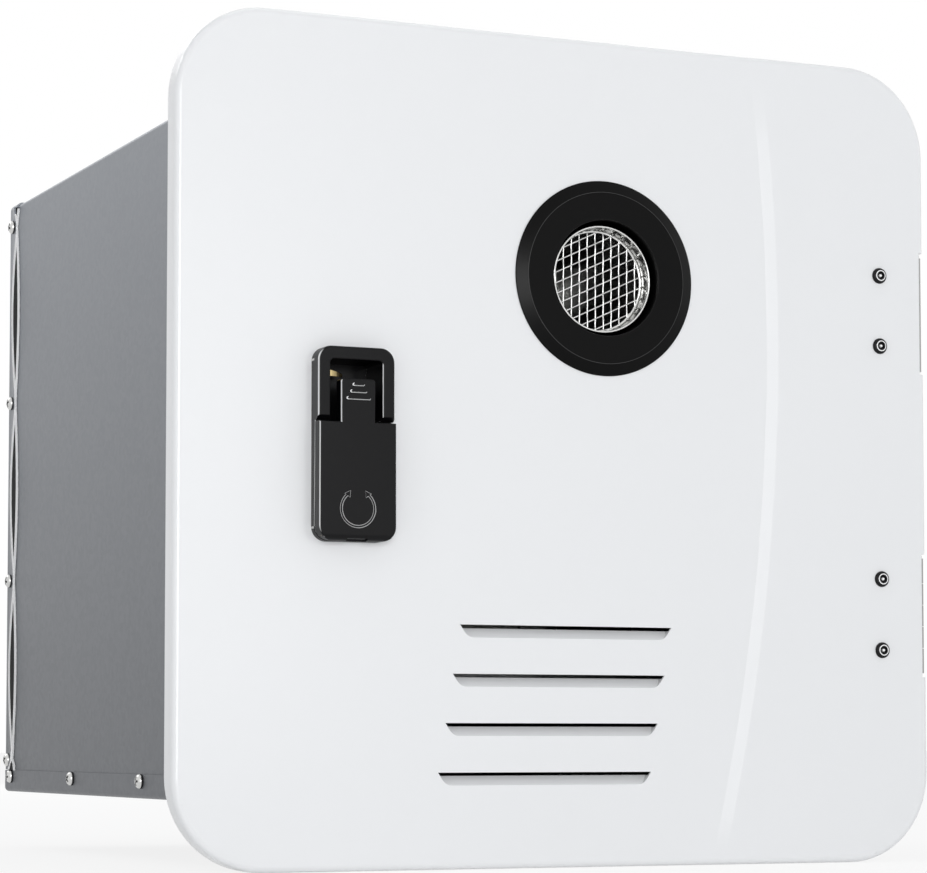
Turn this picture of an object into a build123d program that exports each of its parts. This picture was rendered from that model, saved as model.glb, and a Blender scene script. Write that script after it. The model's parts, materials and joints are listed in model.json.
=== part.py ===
from build123d import *
from math import cos, radians, sin
import os

os.makedirs("parts", exist_ok=True)

# Caravan water heater. X runs to the right as seen from outside the caravan, Y runs into
# the caravan and Z is up. The plane y = 0 is the outer skin of the caravan's wall, and the
# origin is the middle of the heater's wall flange on that plane. All lengths are millimetres.

# Clearances and overruns
overrun = 2.0
running_gap = 0.3
pin_clearance = 0.05
fixing_clearance = 0.1

# Door, a pressed steel tray with a stepped panel along its hinge side
door_size = 381.0
door_corner_r = 42.0
door_depth = 11.0
door_edge_r = 3.0
door_sheet = 1.2
door_wall_gap = 1.5
crease_rise = 0.7
crease_width = 6.0
crease_r = 980.0
crease_peak_x = 103.3
crease_peak_z = 55.0

# Louvres pressed in at the bottom of the door
louvre_count = 4
louvre_top_width = 107.0
louvre_taper = 4.0
louvre_bottom_width = louvre_top_width - 2 * louvre_taper
louvre_height = 5.8
louvre_slot = 1.5
louvre_end_r = 5.5
louvre_pitch = 22.1
louvre_step_left = 3.6
louvre_first_x = -1.7
louvre_first_z = -81.0
louvre_depth = 4.5
louvre_sheet = 1.0

# Exhaust outlet
exhaust_x = 17.5
exhaust_z = 79.7
bezel_r = 45.3
bezel_flat_r = 39.7
bezel_rise = 2.6
bezel_edge_rise = 0.6
bezel_hole_r = 26.8
bezel_collar_r = 29.5
bezel_collar_reach = 7.0
retainer_r = 36.0
retainer_thickness = 2.0
tube_r = 25.0
tube_wall = 1.0
tube_recess = 1.8
guard_recess = 7.0
guard_thickness = 1.2
guard_pitch_x = 4.1
guard_pitch_z = 5.0
guard_wire = 0.7
guard_slope = 25.0
guard_rim = 1.2

# Hinges on the door's right edge
hinge_z = 73.0
hinge_length = 55.6
hinge_end_knuckle = 12.2
hinge_knuckle_count = 5
hinge_axis_inset = 1.9
hinge_axis_x = door_size / 2 - hinge_axis_inset
hinge_axis_y = -6.9
hinge_knuckle_r = 3.2
hinge_pin_r = 1.5
hinge_pin_head_r = 2.6
hinge_pin_head = 1.2
hinge_leaf = 1.5
hinge_leaf_width = 29.1
hinge_leaf_inner_x = hinge_axis_x - hinge_leaf_width
hinge_frame_leaf_width = 18.6
hinge_frame_leaf_inner_x = hinge_axis_x - hinge_frame_leaf_width
hinge_screw_inset = 23.6
hinge_screw_x = hinge_axis_x - hinge_screw_inset
hinge_screw_spacing = 34.0
hinge_screw_r = 2.0
hinge_screw_head_r = 3.8
hinge_screw_head = 2.0
hinge_screw_taper = 20.0
hinge_screw_socket = 1.2
hinge_screw_socket_r = 1.6
hinge_nut_r = 4.0
hinge_nut_height = 4.0
hinge_notch_gap = 0.5
hinge_notch_end_gap = 1.8
hinge_notch_depth = 3.0

# Housing of folded galvanised sheet
housing_size = 321.0
housing_back_y = 359.0
sheet = 1.0
side_flange = 11.5
fold_r = 2.0
shell_screw_pitch_z = 97.0
shell_screw_low_z = -143.5
shell_screw_rows = 4
shell_screw_edge = 5.0
pan_screw_z = -152.3
pan_screw_rear = 11.5
pan_screw_pitch = 112.4
pan_screw_count = 3
shell_screw_r = 1.6
shell_screw_head_r = 3.5
shell_screw_head = 2.5
shell_screw_length = 8.0
shell_screw_taper = 25.0

# Wall flange that fastens the heater in its opening
flange_size = 364.0
flange_corner_r = 36.0
flange_sheet = 1.2
flange_collar = 13.5
gasket_thickness = 1.5
flange_hole_r = 2.4
flange_hole_spacing = 332.0
flange_middle_spacing = 340.0
seal_outer = 321.0
seal_width = 3.0
seal_height = 6.6
seal_corner_r = 6.0

# Latch. Heights are measured outwards from the door's face
latch_x = -108.75
latch_z = -2.5
latch_width = 36.5
latch_height = 86.0
latch_corner_r = 6.5
latch_base_rise = 4.1
latch_frame_rise = 8.3
latch_wall = 5.8
latch_split_z = 7.4
latch_split_gap = 0.8
latch_end_chamfer = 2.0
latch_edge_r = 1.0
latch_body_width = 28.0
latch_body_height = 80.0
latch_body_depth = 13.5
latch_cup_depth = 11.5
latch_plate_margin = 8.0
latch_plate_thickness = 1.5
latch_screw_x = 17.0
latch_screw_z = 37.0
latch_screw_r = 1.25
latch_screw_head_r = 2.3
latch_screw_head = 1.4
latch_screw_bite = 3.0
handle_thickness = 5.6
handle_front_rise = 10.2
tongue_width = 16.4
tongue_top_z = 26.1
tongue_corner_r = 1.5
grip_bar_widths = (5.7, 7.9, 11.4)
grip_bar_top_z = 23.5
grip_bar_pitch = 3.05
grip_bar_height = 1.4
grip_bar_rise = 0.5
turn_axis_z = -31.3
rotor_r = 10.0
rotor_thickness = 2.7
spindle_r = 5.0
spindle_reach_y = 4.7
spindle_end_r = 3.0
lug_width = 9.0
lug_eye_r = 1.9
lug_top_reach = 8.2
lug_end_gap = 0.45
handle_pin_r = 0.9
handle_pin_length = 33.0
handle_skin = 0.6
turn_mark_r = 7.9
turn_mark_width = 1.4
turn_mark_depth = 0.3
turn_mark_opening = 70.0
turn_mark_tip_r = 2.0
cam_thickness = 3.0
cam_width = 16.0
cam_tip_x = -152.5
cam_nut_r = 5.5
cam_nut_height = 4.5

# Keeper for the latch, a spring clip on the flange's collar
keeper_thickness = 1.2
keeper_reach = 14.0
keeper_height = 26.0
keeper_foot = 9.0

# Door lining
lining_thickness = 4.0
lining_half = 150.0
lining_corner_r = 12.0
lining_margin = 6.0

# Fan on top of the flue hood
fan_x = -26.0
fan_y = 150.0
fan_height = 52.0
fan_sheet = 1.2
scroll_growth = 5.0
outlet_width = 52.0
fan_outlet_y = 84.0
fan_inlet_r = 30.0
wheel_r = 48.0
wheel_height = 38.0
wheel_lift = 4.0
blade_count = 24
blade_length = 9.0
blade_thickness = 1.0
blade_angle = 35.0
wheel_plate = 1.5
wheel_hub_r = 8.0
wheel_hub_height = 16.0
shaft_r = 3.0
motor_r = 27.0
motor_height = 36.0
motor_flange_r = 34.0
motor_flange = 2.0
motor_edge_r = 3.0
motor_bore = 22.5
tube_socket = 10.0

# Combustion box, heat exchanger and hood, stacked under the fan
engine_x = -26.0
engine_y = 150.0
engine_width = 130.0
engine_depth = 150.0
engine_sheet = 1.2
box_low_z = -112.0
box_high_z = -42.0
core_high_z = 16.0
hood_top = 66.0
stand_sheet = 2.0
stand_foot = 18.0
fin_count = 18
fin_thickness = 0.6
fin_margin = 8.0
coil_r = 5.0
coil_gap = 0.5
coil_bend_r = 16.0
coil_turns = 3
coil_low_z = -30.0
coil_pitch = 17.0
burner_count = 6
burner_width = 12.0
burner_height = 30.0
burner_end_gap = 3.8
burner_slot = 2.0
burner_slot_pitch = 8.0
burner_slot_count = 14
manifold_size = 14.0
manifold_z = -96.0
nozzle_r = 3.0
nozzle_hole_r = 1.5
nozzle_length = 6.0
cover_width = 92.0
cover_height = 40.0
cover_thickness = 1.5
cover_z = -64.0
cover_corner_r = 4.0
cover_screw_r = 2.8
sight_inset = 24.0
sight_r = 8.0
sight_ring = 3.0
electrode_r = 3.0
electrode_wire_r = 1.0
electrode_length = 16.0
electrode_reach = 14.0
electrode_spacing = 22.0
electrode_flange_r = 5.5

# Gas train on the right
valve_x = 112.0
valve_y = 72.0
valve_width = 52.0
valve_depth = 50.0
valve_height = 42.0
valve_low_z = -117.0
valve_edge_r = 3.0
solenoid_r = 13.0
solenoid_height = 34.0
solenoid_spacing = 28.0
plunger_r = 4.0
plunger_length = 20.0
plunger_stroke = 3.0
gas_pipe_r = 5.0
gas_bore_r = 5.0
gas_nut_r = 9.5
gas_nut_length = 14.0
flare_r = 7.9
flare_length = 18.0
bulkhead_r = 16.0
neck_margin = 1.5
neck_rise = 2.0
bulkhead_thickness = 3.0

# Water side on the left
water_x = -122.0
water_pipe_r = 8.0
cold_z = -128.0
hot_z = -70.0
thread_r = 10.45
thread_length = 20.0
thread_bore_r = 6.5
block_width = 36.0
block_depth = 32.0
block_height = 62.0
block_edge_r = 3.0
sensor_r = 15.0
sensor_length = 48.0
sensor_y = 150.0
sensor_wall = 2.5
sensor_socket = 15.0
sensor_socket_rise = 2.5
turbine_r = 10.0
turbine_length = 12.0
turbine_blades = 6
turbine_blade = 1.2
turbine_shaft_r = 1.0
turbine_hub_r = 2.0
drain_neck_r = 7.0
drain_neck = 6.0
drain_knob_r = 12.0
drain_knob_length = 12.0
drain_knob_ribs = 10
drain_rib_r = 1.2
drain_shaft_r = 3.0
relief_r = 9.0
relief_height = 26.0
relief_lobe_r = 4.0
lever_pin_r = 1.2
lever_ear_r = 2.4
relief_cheek = 6.0
lever_width = 10.0
lever_length = 32.0
lever_thickness = 2.0

# Controls
box_width = 54.0
box_front_y = 30.0
box_depth = 60.0
box_low = -8.0
box_height = 130.0
box_wall = 2.0
box_corner_r = 4.0
post_inset = 6.0
post_r = 2.0
lid_thickness = 3.0
board_thickness = 1.6
board_standoff = 8.0
chip_size = 14.0
chip_height = 5.0
chip_pitch = 28.0
board_inset = 3.0
relay_size = 18.0
relay_height = 15.0
relay_rise = 27.0
terminal_pitch = 9.0
terminal_count = 4
rocker_width = 13.0
rocker_height = 19.0
rocker_pin_r = 1.0
rocker_vee = 0.6
rocker_z = 92.0
rocker_proud = 4.0
rocker_bezel = 3.0
rocker_bezel_rise = 1.3
rocker_end_gap = 1.5
igniter_width = 36.0
igniter_depth = 44.0
igniter_height = 58.0
igniter_y = 70.0
igniter_low_z = -10.0
igniter_edge_r = 3.0
motor_bend_r = 20.0
sensor_bend_r = 20.0
igniter_bend_r = 16.0
valve_bend_r = 8.0
bridge_bend_r = 5.0
supply_bend_r = 30.0
ignition_bend_r = 7.0
lead_r = 1.8
supply_r = 3.0
gland_x = 110.0
gland_z = 105.0
gland_bore_r = 4.0
gland_r = 9.0
gland_length = 16.0
gland_flange_r = 12.5
gland_flange = 3.0

# Places worked out from the sizes above
door_back_y = -door_wall_gap
door_face_y = door_back_y - door_depth
door_inner_y = door_face_y + door_sheet
step_face_y = door_face_y - crease_rise
flange_back_y = -gasket_thickness
flange_front_y = flange_back_y - flange_sheet
half_housing = housing_size / 2
wall_face = half_housing - sheet
wall_inner = wall_face - sheet
pan_top_z = -half_housing + sheet
above_fold_z = pan_top_z + fold_r - sheet / 2
rear_inner_y = housing_back_y - 2 * sheet
crease_x = crease_peak_x - crease_r


def facing(y):
    """Plane at depth y seen from outside: X to the right, Z up, normal outwards."""
    return Plane.XZ.offset(-y)


def rise(height):
    """Plane at a height outwards from the door's face."""
    return facing(door_face_y - height)


def along(x):
    """Plane across X: Y to the right and Z up, normal towards +X."""
    return Plane(origin=(x, 0, 0), x_dir=(0, 1, 0), z_dir=(1, 0, 0))


def finish(piece, name):
    """Name a finished piece and write it."""
    piece.part.label = name
    export_step(piece.part, f"parts/{name}.step")


def knuckle_spans(first):
    """Low and high ends of every second knuckle, from the hinge's lower end."""
    middle = (hinge_length - 2 * hinge_end_knuckle) / (hinge_knuckle_count - 2)
    low = -hinge_length / 2
    spans = []
    for number in range(hinge_knuckle_count):
        outer = number in (0, hinge_knuckle_count - 1)
        high = low + (hinge_end_knuckle if outer else middle)
        if number % 2 == first:
            spans.append((low, high))
        low = high
    return spans


def pan_screw_places():
    """Depths of the screws along the pan's side flanges."""
    return [housing_back_y - pan_screw_rear - number * pan_screw_pitch for number in range(pan_screw_count)]


def rear_screw_places():
    """Heights of the screws along the rear panel's side flanges."""
    return [shell_screw_low_z + number * shell_screw_pitch_z for number in range(shell_screw_rows)]


def side_holes(places):
    """Screw holes along X through both side walls, at the given depths and heights."""
    for y, z in places:
        for side in (-1, 1):
            with Locations(Location((side * wall_face, y, z), (0, 90, 0))):
                Cylinder(shell_hole_r, 4 * sheet, mode=Mode.SUBTRACT)


def top_holes():
    """Screw holes down through the top of the housing, near its rear edge."""
    with Locations([(x, rear_screw_y, wall_face) for x in top_screw_places]):
        Cylinder(shell_hole_r, 4 * sheet, mode=Mode.SUBTRACT)


rear_screw_y = housing_back_y - sheet - shell_screw_edge
side_screw_places = [(rear_screw_y, z) for z in rear_screw_places()]
side_screw_places += [(y, pan_screw_z) for y in pan_screw_places()]
top_screw_places = [-shell_screw_pitch_z, 0, shell_screw_pitch_z]
shell_hole_r = shell_screw_r + fixing_clearance

# Wrap shell: both side walls and the top in one folded sheet
with BuildPart() as wrap_shell:
    with BuildSketch(facing(rear_inner_y)):
        with BuildLine():
            middle = wall_face - sheet / 2
            FilletPolyline(
                (-middle, above_fold_z),
                (-middle, middle),
                (middle, middle),
                (middle, above_fold_z),
                radius=fold_r,
            )
        trace(line_width=sheet)
    extrude(amount=rear_inner_y - flange_back_y)
    side_holes(side_screw_places)
    top_holes()
finish(wrap_shell, "wrap_shell")

# Bottom pan with its two side flanges and the flange behind the rear panel
with BuildPart() as bottom_pan:
    with BuildSketch(facing(housing_back_y)):
        with BuildLine():
            middle = half_housing - sheet / 2
            top = -half_housing + side_flange
            FilletPolyline(
                (-middle, top), (-middle, -middle), (middle, -middle), (middle, top), radius=fold_r
            )
        trace(line_width=sheet)
    extrude(amount=housing_back_y - flange_back_y)
    with BuildSketch(facing(housing_back_y)):
        with Locations((0, -half_housing + side_flange / 2)):
            Rectangle(2 * (half_housing - fold_r - sheet), side_flange)
    extrude(amount=sheet)
    side_holes([(y, pan_screw_z) for y in pan_screw_places()])
    with BuildSketch(facing(housing_back_y + overrun)):
        with Locations([(x, pan_screw_z) for x in top_screw_places]):
            Circle(shell_hole_r)
    extrude(amount=sheet + 2 * overrun, mode=Mode.SUBTRACT)
finish(bottom_pan, "bottom_pan")

# Rear panel with flanges over the side walls and the top, and holes for what passes it
rear_flange_low_z = -half_housing + side_flange + running_gap
with BuildPart() as rear_panel:
    with BuildSketch(facing(housing_back_y - sheet)):
        with Locations((0, (wall_face + above_fold_z) / 2)):
            Rectangle(2 * wall_face, wall_face - above_fold_z)
    extrude(amount=sheet)
    with BuildSketch(facing(housing_back_y - sheet)):
        with BuildLine():
            middle = half_housing - sheet / 2
            FilletPolyline(
                (-middle, rear_flange_low_z),
                (-middle, middle),
                (middle, middle),
                (middle, rear_flange_low_z),
                radius=fold_r + sheet,
            )
        trace(line_width=sheet)
    extrude(amount=side_flange)
    side_holes([(rear_screw_y, z) for z in rear_screw_places()])
    top_holes()
    with BuildSketch(facing(housing_back_y)):
        with Locations((water_x, cold_z), (water_x, hot_z)):
            Circle(thread_r + neck_margin + fixing_clearance)
        with Locations((valve_x, valve_low_z + valve_height / 2)):
            Circle(flare_r + neck_margin + fixing_clearance)
        with Locations((gland_x, gland_z)):
            Circle(gland_r + fixing_clearance)
        with Locations([(x, pan_screw_z) for x in top_screw_places]):
            Circle(shell_hole_r)
    extrude(amount=2 * sheet + overrun, mode=Mode.SUBTRACT)
finish(rear_panel, "rear_panel")

# Screws that hold the housing together
with BuildPart() as shell_screws:
    for y, z in side_screw_places:
        for side in (-1, 1):
            with BuildSketch(along(side * half_housing)):
                with Locations((y, z)):
                    Circle(shell_screw_r)
            extrude(amount=-side * shell_screw_length)
            with BuildSketch(along(side * half_housing)):
                with Locations((y, z)):
                    Circle(shell_screw_head_r)
            extrude(amount=side * shell_screw_head, taper=shell_screw_taper)
    for x in top_screw_places:
        with BuildSketch(Plane.XY.offset(half_housing)):
            with Locations((x, rear_screw_y)):
                Circle(shell_screw_r)
        extrude(amount=-shell_screw_length)
        with BuildSketch(Plane.XY.offset(half_housing)):
            with Locations((x, rear_screw_y)):
                Circle(shell_screw_head_r)
        extrude(amount=shell_screw_head, taper=shell_screw_taper)
        with BuildSketch(facing(housing_back_y)):
            with Locations((x, pan_screw_z)):
                Circle(shell_screw_r)
        extrude(amount=shell_screw_length)
        with BuildSketch(facing(housing_back_y)):
            with Locations((x, pan_screw_z)):
                Circle(shell_screw_head_r)
        extrude(amount=-shell_screw_head, taper=shell_screw_taper)
finish(shell_screws, "shell_screws")


def flange_holes():
    """Places of the wall flange's fixing holes: four at the corners and one in each side."""
    corner = flange_hole_spacing / 2
    middle = flange_middle_spacing / 2
    places = [(x, z) for x in (-corner, corner) for z in (-corner, corner)]
    return places + [(-middle, 0), (middle, 0), (0, -middle), (0, middle)]


# Wall frame: the flange outside the wall and the collar inside the housing
with BuildPart() as wall_frame:
    with BuildSketch(facing(flange_back_y)):
        RectangleRounded(flange_size, flange_size, flange_corner_r)
        Rectangle(2 * (wall_inner - flange_sheet), 2 * (wall_inner - flange_sheet), mode=Mode.SUBTRACT)
        with Locations(flange_holes()):
            Circle(flange_hole_r, mode=Mode.SUBTRACT)
    extrude(amount=flange_sheet)
    with BuildSketch(facing(flange_back_y + flange_collar)):
        RectangleRounded(2 * wall_inner, 2 * wall_inner, fold_r)
        Rectangle(2 * (wall_inner - flange_sheet), 2 * (wall_inner - flange_sheet), mode=Mode.SUBTRACT)
    extrude(amount=flange_collar)
finish(wall_frame, "wall_frame")

# Gasket between the flange and the caravan's skin
with BuildPart() as wall_gasket:
    with BuildSketch(facing(0)):
        RectangleRounded(flange_size, flange_size, flange_corner_r)
        Rectangle(housing_size + running_gap, housing_size + running_gap, mode=Mode.SUBTRACT)
        with Locations(flange_holes()):
            Circle(flange_hole_r, mode=Mode.SUBTRACT)
    extrude(amount=gasket_thickness)
finish(wall_gasket, "wall_gasket")

# Foam seal round the flange, which the closed door meets
with BuildPart() as door_seal:
    with BuildSketch(facing(flange_front_y)):
        RectangleRounded(seal_outer, seal_outer, seal_corner_r)
        RectangleRounded(
            seal_outer - 2 * seal_width,
            seal_outer - 2 * seal_width,
            seal_corner_r - seal_width,
            mode=Mode.SUBTRACT,
        )
    extrude(amount=seal_height)
finish(door_seal, "door_seal")

# Spring keeper that the latch's cam hooks behind
keeper_x = -(wall_inner - flange_sheet)
keeper_back_y = spindle_reach_y - running_gap
with BuildPart() as strike_keeper:
    with BuildSketch(Plane.XY.offset(turn_axis_z - keeper_height / 2)):
        with BuildLine():
            inner = keeper_back_y - keeper_thickness / 2
            foot = keeper_x + keeper_thickness / 2
            FilletPolyline(
                (foot, inner - keeper_foot),
                (foot, inner),
                (keeper_x + keeper_reach, inner),
                radius=keeper_thickness,
            )
        trace(line_width=keeper_thickness)
    extrude(amount=keeper_height)
finish(strike_keeper, "strike_keeper")


def hinge_half(first, inner_x, plate_y, holes):
    """One half of both butt hinges: the leaf plates, every second knuckle and any screw holes."""
    tangent_x = hinge_axis_x - hinge_knuckle_r - hinge_notch_gap
    with BuildPart() as half:
        for centre_z in (-hinge_z, hinge_z):
            with BuildSketch(Plane.XY.offset(centre_z - hinge_length / 2)):
                with Locations(((inner_x + tangent_x) / 2, plate_y)):
                    Rectangle(tangent_x - inner_x, hinge_leaf)
            extrude(amount=hinge_length)
            for low, high in knuckle_spans(first):
                with BuildSketch(Plane.XY.offset(centre_z + low + running_gap / 2)):
                    with Locations((hinge_axis_x, hinge_axis_y)):
                        Circle(hinge_knuckle_r)
                    with Locations(((tangent_x + hinge_axis_x) / 2, plate_y)):
                        Rectangle(hinge_axis_x - tangent_x, hinge_leaf)
                    with Locations((hinge_axis_x, hinge_axis_y)):
                        Circle(hinge_pin_r + pin_clearance, mode=Mode.SUBTRACT)
                extrude(amount=high - low - running_gap)
        for x, z in holes:
            with Locations(Location((x, plate_y, z), (90, 0, 0))):
                Cylinder(hinge_screw_r + fixing_clearance, 2 * hinge_leaf, mode=Mode.SUBTRACT)
    return half


# Hinge halves on the wall flange
frame_leaf_y = flange_front_y - hinge_leaf / 2
hinge_frame_leaves = hinge_half(0, hinge_frame_leaf_inner_x, frame_leaf_y, [])
finish(hinge_frame_leaves, "hinge_frame_leaves")

# Hinge pins with a head at the top
with BuildPart() as hinge_pins:
    for centre_z in (-hinge_z, hinge_z):
        with BuildSketch(Plane.XY.offset(centre_z - hinge_length / 2)):
            with Locations((hinge_axis_x, hinge_axis_y)):
                Circle(hinge_pin_r)
        extrude(amount=hinge_length)
        with BuildSketch(Plane.XY.offset(centre_z + hinge_length / 2)):
            with Locations((hinge_axis_x, hinge_axis_y)):
                Circle(hinge_pin_head_r)
        extrude(amount=hinge_pin_head)
finish(hinge_pins, "hinge_pins")

# Hinge halves on the door
door_leaf_y = door_inner_y + hinge_leaf / 2
hinge_screw_places = [
    (hinge_screw_x, centre + offset)
    for centre in (-hinge_z, hinge_z)
    for offset in (-hinge_screw_spacing / 2, hinge_screw_spacing / 2)
]
hinge_door_leaves = hinge_half(1, hinge_leaf_inner_x, door_leaf_y, hinge_screw_places)
finish(hinge_door_leaves, "hinge_door_leaves")

# Screws and nuts that hold the door to its hinges
with BuildPart() as hinge_screws:
    for place in hinge_screw_places:
        with BuildSketch(facing(step_face_y)):
            with Locations(place):
                Circle(hinge_screw_head_r)
        extrude(amount=hinge_screw_head, taper=hinge_screw_taper)
        with BuildSketch(facing(step_face_y - hinge_screw_head)):
            with Locations(place):
                RegularPolygon(hinge_screw_socket_r, 6)
        extrude(amount=-hinge_screw_socket, mode=Mode.SUBTRACT)
        with BuildSketch(facing(door_inner_y + hinge_leaf + hinge_nut_height + running_gap)):
            with Locations(place):
                Circle(hinge_screw_r)
        extrude(amount=door_inner_y + hinge_leaf + hinge_nut_height + running_gap - step_face_y)
    for place in hinge_screw_places:
        with BuildSketch(facing(door_inner_y + hinge_leaf + hinge_nut_height)):
            with Locations(place):
                RegularPolygon(hinge_nut_r, 6)
                Circle(hinge_screw_r + pin_clearance, mode=Mode.SUBTRACT)
        extrude(amount=hinge_nut_height)
finish(hinge_screws, "hinge_screws")

# One louvre pressed into the door, with the middle of its top edge at the origin
slope_rise = louvre_height - louvre_slot
slope_back = louvre_sheet * (louvre_depth**2 + slope_rise**2) ** 0.5 / slope_rise
with BuildPart() as louvre_shell:
    with BuildSketch(along(-louvre_top_width)):
        Polygon(
            (0, -louvre_height - louvre_sheet),
            (slope_back, -louvre_height),
            (louvre_depth + slope_back, -louvre_slot),
            (0, -louvre_slot),
            align=None,
        )
    extrude(amount=2 * louvre_top_width)
    with BuildSketch(facing(louvre_depth + overrun)) as outline:
        Polygon(
            (-louvre_top_width / 2 - louvre_sheet, 0),
            (-louvre_bottom_width / 2 - louvre_sheet, -louvre_height - louvre_sheet),
            (louvre_bottom_width / 2 + louvre_sheet, -louvre_height - louvre_sheet),
            (louvre_top_width / 2 + louvre_sheet, 0),
            align=None,
        )
        fillet(outline.vertices().group_by(Axis.Y)[0], louvre_end_r + louvre_sheet)
    extrude(amount=louvre_depth + overrun, mode=Mode.INTERSECT)

with BuildPart() as louvre_mouth:
    with BuildSketch(along(-louvre_top_width)):
        Polygon(
            (-overrun, -louvre_height),
            (0, -louvre_height),
            (louvre_depth, -louvre_slot),
            (louvre_depth, 0),
            (-overrun, 0),
            align=None,
        )
    extrude(amount=2 * louvre_top_width)
    with BuildSketch(facing(louvre_depth + overrun)) as outline:
        Polygon(
            (-louvre_top_width / 2, 0),
            (-louvre_bottom_width / 2, -louvre_height),
            (louvre_bottom_width / 2, -louvre_height),
            (louvre_top_width / 2, 0),
            align=None,
        )
        fillet(outline.vertices().group_by(Axis.Y)[0], louvre_end_r)
    extrude(amount=louvre_depth + 3 * overrun, mode=Mode.INTERSECT)

louvre_places = [
    Location((louvre_first_x - row * louvre_step_left, door_face_y, louvre_first_z - row * louvre_pitch))
    for row in range(louvre_count)
]
latch_screw_places = [
    (latch_x + side * latch_screw_x, latch_z + end * latch_screw_z) for side in (-1, 1) for end in (-1, 1)
]
upright_share = 0.1

# Door: a tray with a rolled edge, louvres and the holes for what it carries
with BuildPart() as door_panel:
    with BuildSketch(facing(door_back_y)):
        RectangleRounded(door_size, door_size, door_corner_r)
    extrude(amount=door_depth + crease_rise)
    with Locations(Location((crease_x, door_face_y - crease_rise / 2, crease_peak_z), (90, 0, 0))):
        Cone(crease_r, crease_r + crease_width, crease_rise, mode=Mode.SUBTRACT)
    sides = [face for face in door_panel.faces() if abs(face.normal_at().Y) < upright_share]
    rims = [edge for face in sides for edge in face.edges()]
    rims = [edge for edge in rims if edge.center().Y < door_face_y + crease_rise / 2]
    fillet(rims, door_edge_r)
    with BuildSketch(facing(door_back_y)):
        RectangleRounded(door_size - 2 * door_sheet, door_size - 2 * door_sheet, door_corner_r - door_sheet)
    extrude(amount=door_depth - door_sheet, mode=Mode.SUBTRACT)
    floor = [face for face in door_panel.faces() if abs(face.center().Y - door_inner_y) < door_sheet / 2]
    fillet(ShapeList(floor).sort_by(SortBy.AREA)[-1].outer_wire().edges(), door_edge_r - door_sheet)
    for place in louvre_places:
        add(louvre_shell.part.moved(place))
        add(louvre_mouth.part.moved(place), mode=Mode.SUBTRACT)
    with BuildSketch(facing(door_back_y + overrun)):
        with Locations((exhaust_x, exhaust_z)):
            Circle(bezel_collar_r + fixing_clearance)
        with Locations((latch_x, latch_z)):
            Rectangle(latch_body_width + 2 * running_gap, latch_body_height + 2 * running_gap)
        with Locations(latch_screw_places):
            Circle(latch_screw_r + fixing_clearance)
        with Locations(hinge_screw_places):
            Circle(hinge_screw_r + fixing_clearance)
        for centre_z in (-hinge_z, hinge_z):
            with Locations((door_size / 2, centre_z)):
                Rectangle(2 * hinge_notch_depth, hinge_length + 2 * hinge_notch_end_gap)
    extrude(amount=door_depth + 2 * overrun + crease_rise, mode=Mode.SUBTRACT)
finish(door_panel, "door_panel")

# Black bezel round the exhaust, pushed through the door
with BuildPart() as exhaust_bezel:
    with BuildSketch(Plane(origin=(exhaust_x, 0, exhaust_z))):
        Polygon(
            (bezel_hole_r, door_face_y - bezel_rise),
            (bezel_flat_r, door_face_y - bezel_rise),
            (bezel_r, door_face_y - bezel_edge_rise),
            (bezel_r, door_face_y),
            (bezel_collar_r, door_face_y),
            (bezel_collar_r, door_face_y + bezel_collar_reach),
            (bezel_hole_r, door_face_y + bezel_collar_reach),
            align=None,
        )
    revolve(axis=Axis((exhaust_x, 0, exhaust_z), (0, 1, 0)))
finish(exhaust_bezel, "exhaust_bezel")

# Ring that holds the bezel from behind the door
with BuildPart() as bezel_retainer:
    with BuildSketch(facing(door_inner_y + retainer_thickness)):
        with Locations((exhaust_x, exhaust_z)):
            Circle(retainer_r)
            Circle(bezel_collar_r + pin_clearance, mode=Mode.SUBTRACT)
    extrude(amount=retainer_thickness)
finish(bezel_retainer, "bezel_retainer")

# Foam lining inside the door, cut away round the latch, the exhaust and the louvres
louvres_low_z = louvre_first_z - (louvre_count - 1) * louvre_pitch - louvre_height
louvres_mid_x = louvre_first_x - (louvre_count - 1) * louvre_step_left / 2
louvres_wide = louvre_top_width + (louvre_count - 1) * louvre_step_left
with BuildPart() as door_lining:
    with BuildSketch(facing(door_inner_y + lining_thickness)):
        RectangleRounded(2 * lining_half, 2 * lining_half, lining_corner_r)
        with Locations((latch_x, latch_z)):
            Rectangle(
                latch_width + 2 * (lining_margin + latch_plate_margin / 2),
                latch_height + 2 * lining_margin + latch_plate_margin,
                mode=Mode.SUBTRACT,
            )
        with Locations((exhaust_x, exhaust_z)):
            Circle(retainer_r + lining_margin, mode=Mode.SUBTRACT)
        with Locations((louvres_mid_x, (louvre_first_z + louvres_low_z) / 2)):
            Rectangle(
                louvres_wide + 2 * lining_margin,
                louvre_first_z - louvres_low_z + lining_margin,
                mode=Mode.SUBTRACT,
            )
    extrude(amount=lining_thickness)
finish(door_lining, "door_lining")

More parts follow.
